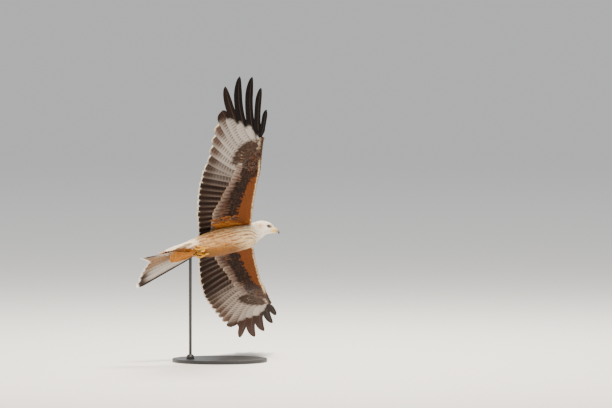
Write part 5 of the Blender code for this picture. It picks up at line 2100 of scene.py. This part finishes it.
@dataclass
class Bill:
    """Cere with its nostrils, hooked upper bill, lower bill and the yellow gape."""

    cere_finish: Material
    horn_finish: Material
    lower_finish: Material
    face: tuple[float, ...] = HEAD_PROFILE[-1]

    def ring(self, x: float, z: float, half_width: float, half_height: float, lean: float) -> Matrix:
        """The matrix of one ring of the bill, in the head's frame."""
        ahead = Vector((math.cos(lean), 0.0, -math.sin(lean)))
        return ring_matrix(Vector((x, 0.0, z)), ahead, Vector((0, 1, 0)), half_width, half_height)

    def through(self, rings: tuple, steps: int) -> list[Matrix]:
        """Many rings on a smooth run through a few.

        Args:
            rings: the few rings' sizes.
            steps: how many rings there are in the end.

        Returns:
            The rings' matrices.
        """
        table = [(i, *ring) for i, ring in enumerate(rings)]
        places = np.linspace(0.0, len(rings) - 1, steps)
        return [self.ring(*(float(v) for v in row)) for row in along(tuple(table), places)]

    def build(self) -> dict[str, Piece]:
        """The bill's pieces by the solid that each one stands for.

        Returns:
            The three pieces.
        """
        half = self.face[3]
        start = self.face[0] - 0.0012
        end = self.face[0] + CERE_LENGTH
        cere_rings = (
            (start, 0.0020, half * 0.90, 0.0079, 0.0),
            (start + 0.0052, 0.0018, half * 0.80, 0.0077, 0.05),
            (end - 0.0014, 0.0013, half * 0.69, 0.0072, 0.11),
            (end + 0.0004, 0.0012, half * 0.60, 0.0062, 0.12),
        )
        hook_rings = (
            (end - 0.0010, 0.0012, half * 0.60, 0.0064, 0.12),
            (end + 0.0050, -0.0002, 0.0050, 0.0060, 0.32),
            (end + 0.0098, -0.0028, 0.0040, 0.0050, 0.60),
            (end + 0.0136, -0.0062, 0.0030, 0.0038, 0.95),
            (end + 0.0160, -0.0098, 0.0020, 0.0025, 1.25),
            (end + 0.0168, -0.0130, 0.0010, 0.0012, 1.45),
            (end + 0.0170, -0.0150, 0.0003, 0.0004, 1.50),
        )
        lower_rings = (
            (start, -0.0100, half * 0.80, 0.0036, 0.0),
            (start + 0.0080, -0.0096, 0.0060, 0.0031, 0.0),
            (start + 0.0140, -0.0095, 0.0043, 0.0022, 0.0),
            (start + 0.0178, -0.0096, 0.0020, 0.0011, 0.0),
        )
        cere = loft(self.through(cere_rings, 14), 40)
        for vert in cere.verts:
            for side in Side:
                dx, dz = vert.co.x - (start + 0.0066), vert.co.z - 0.0042
                near = (dx / 0.0022) ** 2 + ((dz - 0.4 * dx) / 0.0011) ** 2
                if vert.co.y * side.value > 0:
                    vert.co.y -= side.value * 0.0016 * math.exp(-near)
        hook = loft(self.through(hook_rings, 26), 36)
        for vert in hook.verts:
            ridge = math.exp(-((vert.co.y / 0.0016) ** 2)) * (vert.co.z > -0.012)
            vert.co.z += 0.0004 * ridge * (1 if vert.co.x < end + 0.012 else 0)
        lower = loft(self.through(lower_rings, 14), 32)
        return {
            "cere": finished("cere_skin", cere, HEAD_MATRIX, self.cere_finish),
            "bill_upper": finished("bill_hook", hook, HEAD_MATRIX, self.horn_finish),
            "bill_lower": finished("bill_under", lower, HEAD_MATRIX, self.lower_finish),
        }

    def details(self) -> list[Piece]:
        """The yellow edge of the gape on each side.

        Returns:
            The two edges.
        """
        points = (
            # ahead, aside, up, radius
            (0.0400, 0.0074, -0.0066, 0.0006),
            (0.0345, 0.0092, -0.0066, 0.0009),
            (0.0285, 0.0122, -0.0074, 0.0010),
            (0.0240, 0.0146, -0.0088, 0.0005),
        )
        made = []
        for side in Side:
            path = [Vector((x, side.value * y, z)) for x, y, z, _ in points]
            edge = tube(path, tuple(point[3] for point in points), 12, 12)
            made.append(finished(f"gape_{side.name.lower()}", edge, HEAD_MATRIX, self.cere_finish))
        return made


def tube(
    path: list[Vector], radii: tuple[float, ...], steps: int, segments: int, swell: float = 0.0
) -> bmesh.types.BMesh:
    """A tapered round tube on a smooth run through a few points.

    Args:
        path: the points.
        radii: the tube's radius at each point.
        steps: how many rings it gets.
        segments: how many points each ring has.
        swell: how far every second ring stands proud, as a share of its radius.

    Returns:
        The tube's mesh, with its layer reach.
    """
    table = tuple((i, *point, radius) for i, (point, radius) in enumerate(zip(path, radii)))
    rows = along(table, np.linspace(0.0, len(path) - 1, steps))
    middles = [Vector(row[:3]) for row in rows]
    side = Vector((0.03, 0.02, 1.0))
    stations = []
    for index, (middle, row) in enumerate(zip(middles, rows)):
        ahead = middles[min(index + 1, steps - 1)] - middles[max(index - 1, 0)]
        radius = float(row[3]) * (1 + swell * (index % 2))
        stations.append(ring_matrix(middle, ahead, side, radius, radius))
    return loft(stations, segments)


@dataclass
class Eye:
    """One eye with its clear bulge, its lids and the bare ring round it."""

    side: Side
    eye_finish: Material
    lid_finish: Material
    look: Vector = field(default_factory=lambda: Vector((0.3, 1.0, 0.1)))

    def frame_matrix(self) -> Matrix:
        """The eye's own frame, with +Z along its gaze and +Y towards the crown.

        Returns:
            The matrix.
        """
        gaze = Vector((self.look.x, self.side.value * self.look.y, self.look.z)).normalized()
        side = Vector((0, 0, 1)).cross(gaze).normalized()
        axes = Matrix((side, gaze.cross(side), gaze)).transposed().to_4x4()
        return HEAD_MATRIX @ Matrix.Translation(eye_middle(self.side)) @ axes

    def ball(self) -> Piece:
        """The eyeball with its cornea.

        Returns:
            The piece.
        """
        bm = bmesh.new()
        bmesh.ops.create_uvsphere(bm, u_segments=40, v_segments=28, radius=EYE_RADIUS)
        gaze = bm.verts.layers.float.new("gaze")
        for vert in bm.verts:
            vert[gaze] = vert.co.z / EYE_RADIUS
            vert.co.z += 0.0007 * float(smooth(np.array(vert[gaze]), 0.72, 0.98))
        return finished(f"eyeball_{self.side.name.lower()}", bm, self.frame_matrix(), self.eye_finish)

    def lids(self) -> Piece:
        """The rim of bare skin that the lids form round the eye, a little flattened above.

        Returns:
            The piece.
        """
        bm = bmesh.new()
        made = bmesh.ops.create_circle(bm, cap_ends=False, radius=0.001, segments=10)
        bmesh.ops.scale(bm, vec=(1.25, 0.85, 1.0), verts=made["verts"])
        upright = Matrix.Rotation(math.radians(90), 3, "X")
        bmesh.ops.rotate(bm, cent=(0, 0, 0), matrix=upright, verts=made["verts"])
        bmesh.ops.translate(bm, vec=(0.0051, 0, 0.0043), verts=made["verts"])
        turn = {"cent": (0, 0, 0), "axis": (0, 0, 1), "angle": 2 * math.pi, "steps": 40}
        bmesh.ops.spin(bm, geom=bm.verts[:] + bm.edges[:], use_merge=True, **turn)
        bmesh.ops.remove_doubles(bm, verts=bm.verts, dist=0.00002)
        for vert in bm.verts:
            if vert.co.y > 0:
                vert.co.y *= 0.88
                vert.co.z += 0.0004
        bmesh.ops.recalc_face_normals(bm, faces=bm.faces)
        return finished(f"eyelids_{self.side.name.lower()}", bm, self.frame_matrix(), self.lid_finish)


# Toes as in the solids: behind the ankle, out from the foot's middle and below the belly.
TOES = (
    (
        "middle",
        ((0.028, 0.0, 0.009), (0.042, 0.001, 0.015), (0.055, 0.001, 0.013), (0.062, 0.0, 0.007)),
        ((0.0632, -0.0002, 0.0055), (0.069, -0.001, 0.003),
         (0.0735, -0.002, 0.0012), (0.0765, -0.003, 0.0002)),
    ),
    (
        "outer",
        ((0.028, 0.003, 0.009), (0.039, 0.0095, 0.014), (0.049, 0.0105, 0.012), (0.055, 0.0085, 0.0065)),
        ((0.0562, 0.008, 0.005), (0.062, 0.0065, 0.0028), (0.0665, 0.005, 0.0012), (0.0695, 0.0035, 0.0004)),
    ),
    (
        "inner",
        ((0.028, -0.003, 0.009), (0.038, -0.008, 0.014), (0.047, -0.0088, 0.012), (0.053, -0.0078, 0.0065)),
        ((0.0543, -0.0074, 0.005), (0.0605, -0.0066, 0.0028),
         (0.0655, -0.0058, 0.0012), (0.069, -0.005, 0.0004)),
    ),
    (
        "hind",
        ((0.026, 0.0, 0.008), (0.025, -0.003, 0.0145), (0.031, -0.004, 0.0195), (0.039, -0.004, 0.0205)),
        ((0.0412, -0.004, 0.0205), (0.0465, -0.004, 0.0195),
         (0.051, -0.0045, 0.0165), (0.052, -0.005, 0.0125)),
    ),
)


@dataclass
class Foot:
    """One tucked foot: scaled shank and curled toes, with horny claws."""

    side: Side
    scale_finish: Material
    claw_finish: Material
    ankle: float = -0.14
    out: float = 0.014
    shift: float = -0.006
    toe_radius: float = 0.0033
    claw_radius: float = 0.0025

    def spot(self, back: float, aside: float, below: float) -> Vector:
        """A point of the foot in the bird's frame.

        Args:
            back: how far behind the ankle.
            aside: how far out from the foot's middle.
            below: how far below the belly.

        Returns:
            The point.
        """
        x = self.ankle - back
        y = self.shift + self.side.value * (self.out + aside)
        half_height, half_width = along(BODY_PROFILE, np.array(x))
        share = min(abs(y) / half_width, 0.95)
        return Vector((x, y, AXIS_DROP + AXIS_SLOPE * x - half_height * math.sqrt(1 - share**2) - below))

    def build(self) -> tuple[Piece, dict[str, Piece]]:
        """The foot's piece, and its claws by toe.

        Returns:
            The foot, and the claws by toe.
        """
        name = self.side.name.lower()
        shank = [self.spot(-0.006, 0.0, -0.007), self.spot(0.014, 0.0, 0.003), self.spot(0.031, 0.0, 0.0085)]
        whole = bmesh.new()
        radii = tuple(self.toe_radius * share for share in (1.1, 0.84, 0.96, 0.74))
        limbs = [(shank, (0.004, 0.0036, 0.0044))]
        limbs += [([self.spot(*p) for p in path], radii) for _, path, _ in TOES]
        for path, radii in limbs:
            part = tube(path, radii, 30, 14, swell=0.035)
            mesh = bpy.data.meshes.new("limb")
            part.to_mesh(mesh)
            part.free()
            whole.from_mesh(mesh)
            bpy.data.meshes.remove(mesh)
        foot = finished(f"foot_skin_{name}", whole, BIRD_MATRIX, self.scale_finish)
        claws = {}
        for toe, _, claw in TOES:
            radii = tuple(self.claw_radius * r for r in (1.05, 0.82, 0.5, 0.1))
            bm = tube([self.spot(*p) for p in claw], radii, 16, 14)
            claws[toe] = finished(f"talon_{name}_{toe}", bm, BIRD_MATRIX, self.claw_finish)
        return foot, claws


@dataclass
class Studio:
    """Pale floor, soft light and the camera at the photograph's angle and framing."""

    distance: float = 60.0
    elevation: float = math.radians(3.0)
    sensor: float = 36.0
    floor_radius: float = 60.0

    def floor(self) -> Piece:
        """A wide round floor under the stand.

        Returns:
            The floor.
        """
        bm = bmesh.new()
        bmesh.ops.create_circle(bm, cap_ends=True, radius=self.floor_radius, segments=96)
        made = finished("studio_floor", bm, Matrix.Identity(4), FloorFinish().make())
        return made

    def camera(self) -> Piece:
        """The camera, level with the photograph's view of the bird.

        Returns:
            The camera.
        """
        width, height = PHOTO_SIZE
        right = Vector((1.0, 0.0, 0.0))
        up = Vector((0.0, math.sin(self.elevation), math.cos(self.elevation)))
        back = Vector((0.0, -math.cos(self.elevation), math.sin(self.elevation)))
        across = (width / 2 - SHOULDER_PIXEL[0]) * METRES_PER_PIXEL
        over = (SHOULDER_PIXEL[1] - height / 2) * METRES_PER_PIXEL
        middle = SHOULDER_PLACE + right * across + up * over
        data = bpy.data.cameras.new("camera")
        data.sensor_width = self.sensor
        data.lens = self.sensor * self.distance / (width * METRES_PER_PIXEL)
        data.clip_end = 200.0
        made = bpy.data.objects.new("camera", data)
        axes = Matrix((right, up, back)).transposed().to_4x4()
        made.matrix_world = Matrix.Translation(middle + back * self.distance) @ axes
        bpy.context.scene.collection.objects.link(made)
        bpy.context.scene.camera = made
        return made

    def lamp(
        self, name: str, place: tuple, size: float, power: float, shade: str, target: tuple = (0.0, 0.0, 0.6)
    ) -> None:
        """A square soft light.

        Args:
            name: the light's name.
            place: where it hangs.
            size: its edge.
            power: its strength in watts.
            shade: its colour in hex.
            target: the point that it faces.
        """
        data = bpy.data.lights.new(name, "AREA")
        data.size = size
        data.energy = power
        data.color = linear(shade)
        made = bpy.data.objects.new(name, data)
        towards = Vector(target) - Vector(place)
        made.location = place
        made.visible_camera = False
        made.rotation_euler = towards.to_track_quat("-Z", "Y").to_euler()
        bpy.context.scene.collection.objects.link(made)

    def build(self) -> None:
        """The whole studio."""
        self.floor()
        self.camera()
        self.lamp("key", (0.2, -2.0, 4.8), 1.0, 490.0, "fff1de")
        self.lamp("fill", (3.6, -4.4, 2.4), 2.4, 60.0, "fff6ec")
        self.lamp("rim", (0.8, 1.8, 4.0), 1.4, 300.0, "fff6e8")
        self.lamp("floor_wash", (0.0, 20.0, 14.0), 14.0, 1500.0, "ffffff", (0.0, 16.0, 0.0))
        world = bpy.data.worlds.new("studio")
        world.use_nodes = True
        backdrop = world.node_tree.nodes["Background"]
        backdrop.inputs["Color"].default_value = opaque(FloorFinish.backdrop)
        backdrop.inputs["Strength"].default_value = FloorFinish.backdrop_light
        bpy.context.scene.world = world


def settle(piece: Piece, slot: str, *nodes: str) -> None:
    """Fixes a piece to the body and hides the solids that it stands for.

    Args:
        piece: the finished piece.
        slot: the record's material slot; not used.
        nodes: the solids it replaces.
    """
    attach(piece, BODY)
    if nodes:
        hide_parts(*nodes)
    LOG.info("%s: %d faces", piece.name, len(piece.data.polygons))


def main() -> None:
    """Builds the kite, its stand and the studio, in order."""
    logging.basicConfig(level=logging.INFO)
    form = BodyForm()
    plumage = Plumage()
    contour = FeatherFinish("contour_feathers").make()
    covert = FeatherFinish("covert_feathers", shaft_strength=0.5).make()
    flight = FeatherFinish(
        "flight_feathers", tip_from=0.95, tip_to=0.98, sheen=0.0, gloss=0.06,
        shaft="6d5c50", shaft_strength=0.25,
    ).make()
    for piece in ContourCoat(form, plumage, contour).build():
        settle(piece, "head_feathers" if piece.name == "coat_head" else "body_feathers")
    sheets = [
        WingSheet(Side.RIGHT, -1.0, -4.4, 35.0, -6.3),
        WingSheet(Side.LEFT, 2.8, 28.8, 18.7, -14.8),
    ]
    for sheet in sheets:
        side = sheet.side.name.lower()
        parts = ("secondaries", "primaries", "p6", "p7", "p8", "p9", "p10")
        pieces = Wing(sheet, plumage, flight, covert).build()
        settle(pieces["flight_feathers"], "flight_feathers", *(f"wing_{side}_{part}" for part in parts))
        for kind in ("coverts_upper", "coverts_under"):
            settle(pieces[kind], "wing_coverts")
    tail, tail_coverts = Tail(TailSheet(), plumage, flight, covert).build()
    settle(tail, "tail_feathers", "tail_left", "tail_right")
    settle(tail_coverts, "body_feathers")
    skin = Skin(form, sheets, plumage, SkinFinish().make()).build()
    flesh = ["head", "neck", "trunk", "rump", "thigh_left", "thigh_right"]
    flesh += [f"wing_{side}_{part}" for side in ("left", "right") for part in ("arm", "hand")]
    settle(skin, "body_feathers", *flesh)
    yellow = BareSkinFinish("waxy_cere", "e6c364", "dfba5a", 0.0009, 0.00004, 0.38).make()
    scales = BareSkinFinish("scaled_foot", "d99c00", "a87200", 0.0028, 0.0001).make()
    lid = BareSkinFinish("eyelid_skin", "3b322b", "241d18", 0.0009, 0.0001, 0.5).make()
    horn = HornFinish("bill_horn", "b79f74", "3a302b", (0.05, 0.6)).make()
    horn_pale = HornFinish("lower_bill_horn", "dcbc66", "6b5546", (0.45, 0.95)).make()
    black_horn = HornFinish("claw_horn", "2e2723", "0b0909", (0.1, 0.6)).make()
    bill = Bill(yellow, horn, horn_pale)
    for node, piece in bill.build().items():
        settle(piece, "yellow_skin" if node == "cere" else "bill", node)
    for piece in bill.details():
        settle(piece, "yellow_skin")
    wet = EyeFinish().make()
    for side in Side:
        eye = Eye(side, wet, lid)
        settle(eye.ball(), "eye", f"eye_{side.name.lower()}")
        settle(eye.lids(), "yellow_skin")
        foot, claws = Foot(side, scales, black_horn).build()
        settle(foot, "yellow_skin", f"foot_{side.name.lower()}")
        for toe, claw in claws.items():
            settle(claw, "claw", f"claw_{side.name.lower()}_{toe}")
    coat = PowderCoatFinish().make()
    for name in ("stand_base", "stand_rod", "stand_collar"):
        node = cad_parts[name]
        node.material_slots[0].material = coat
        LOG.info("%s: powder coated", name)
    Studio().build()


if __name__ == "__main__":
    main()
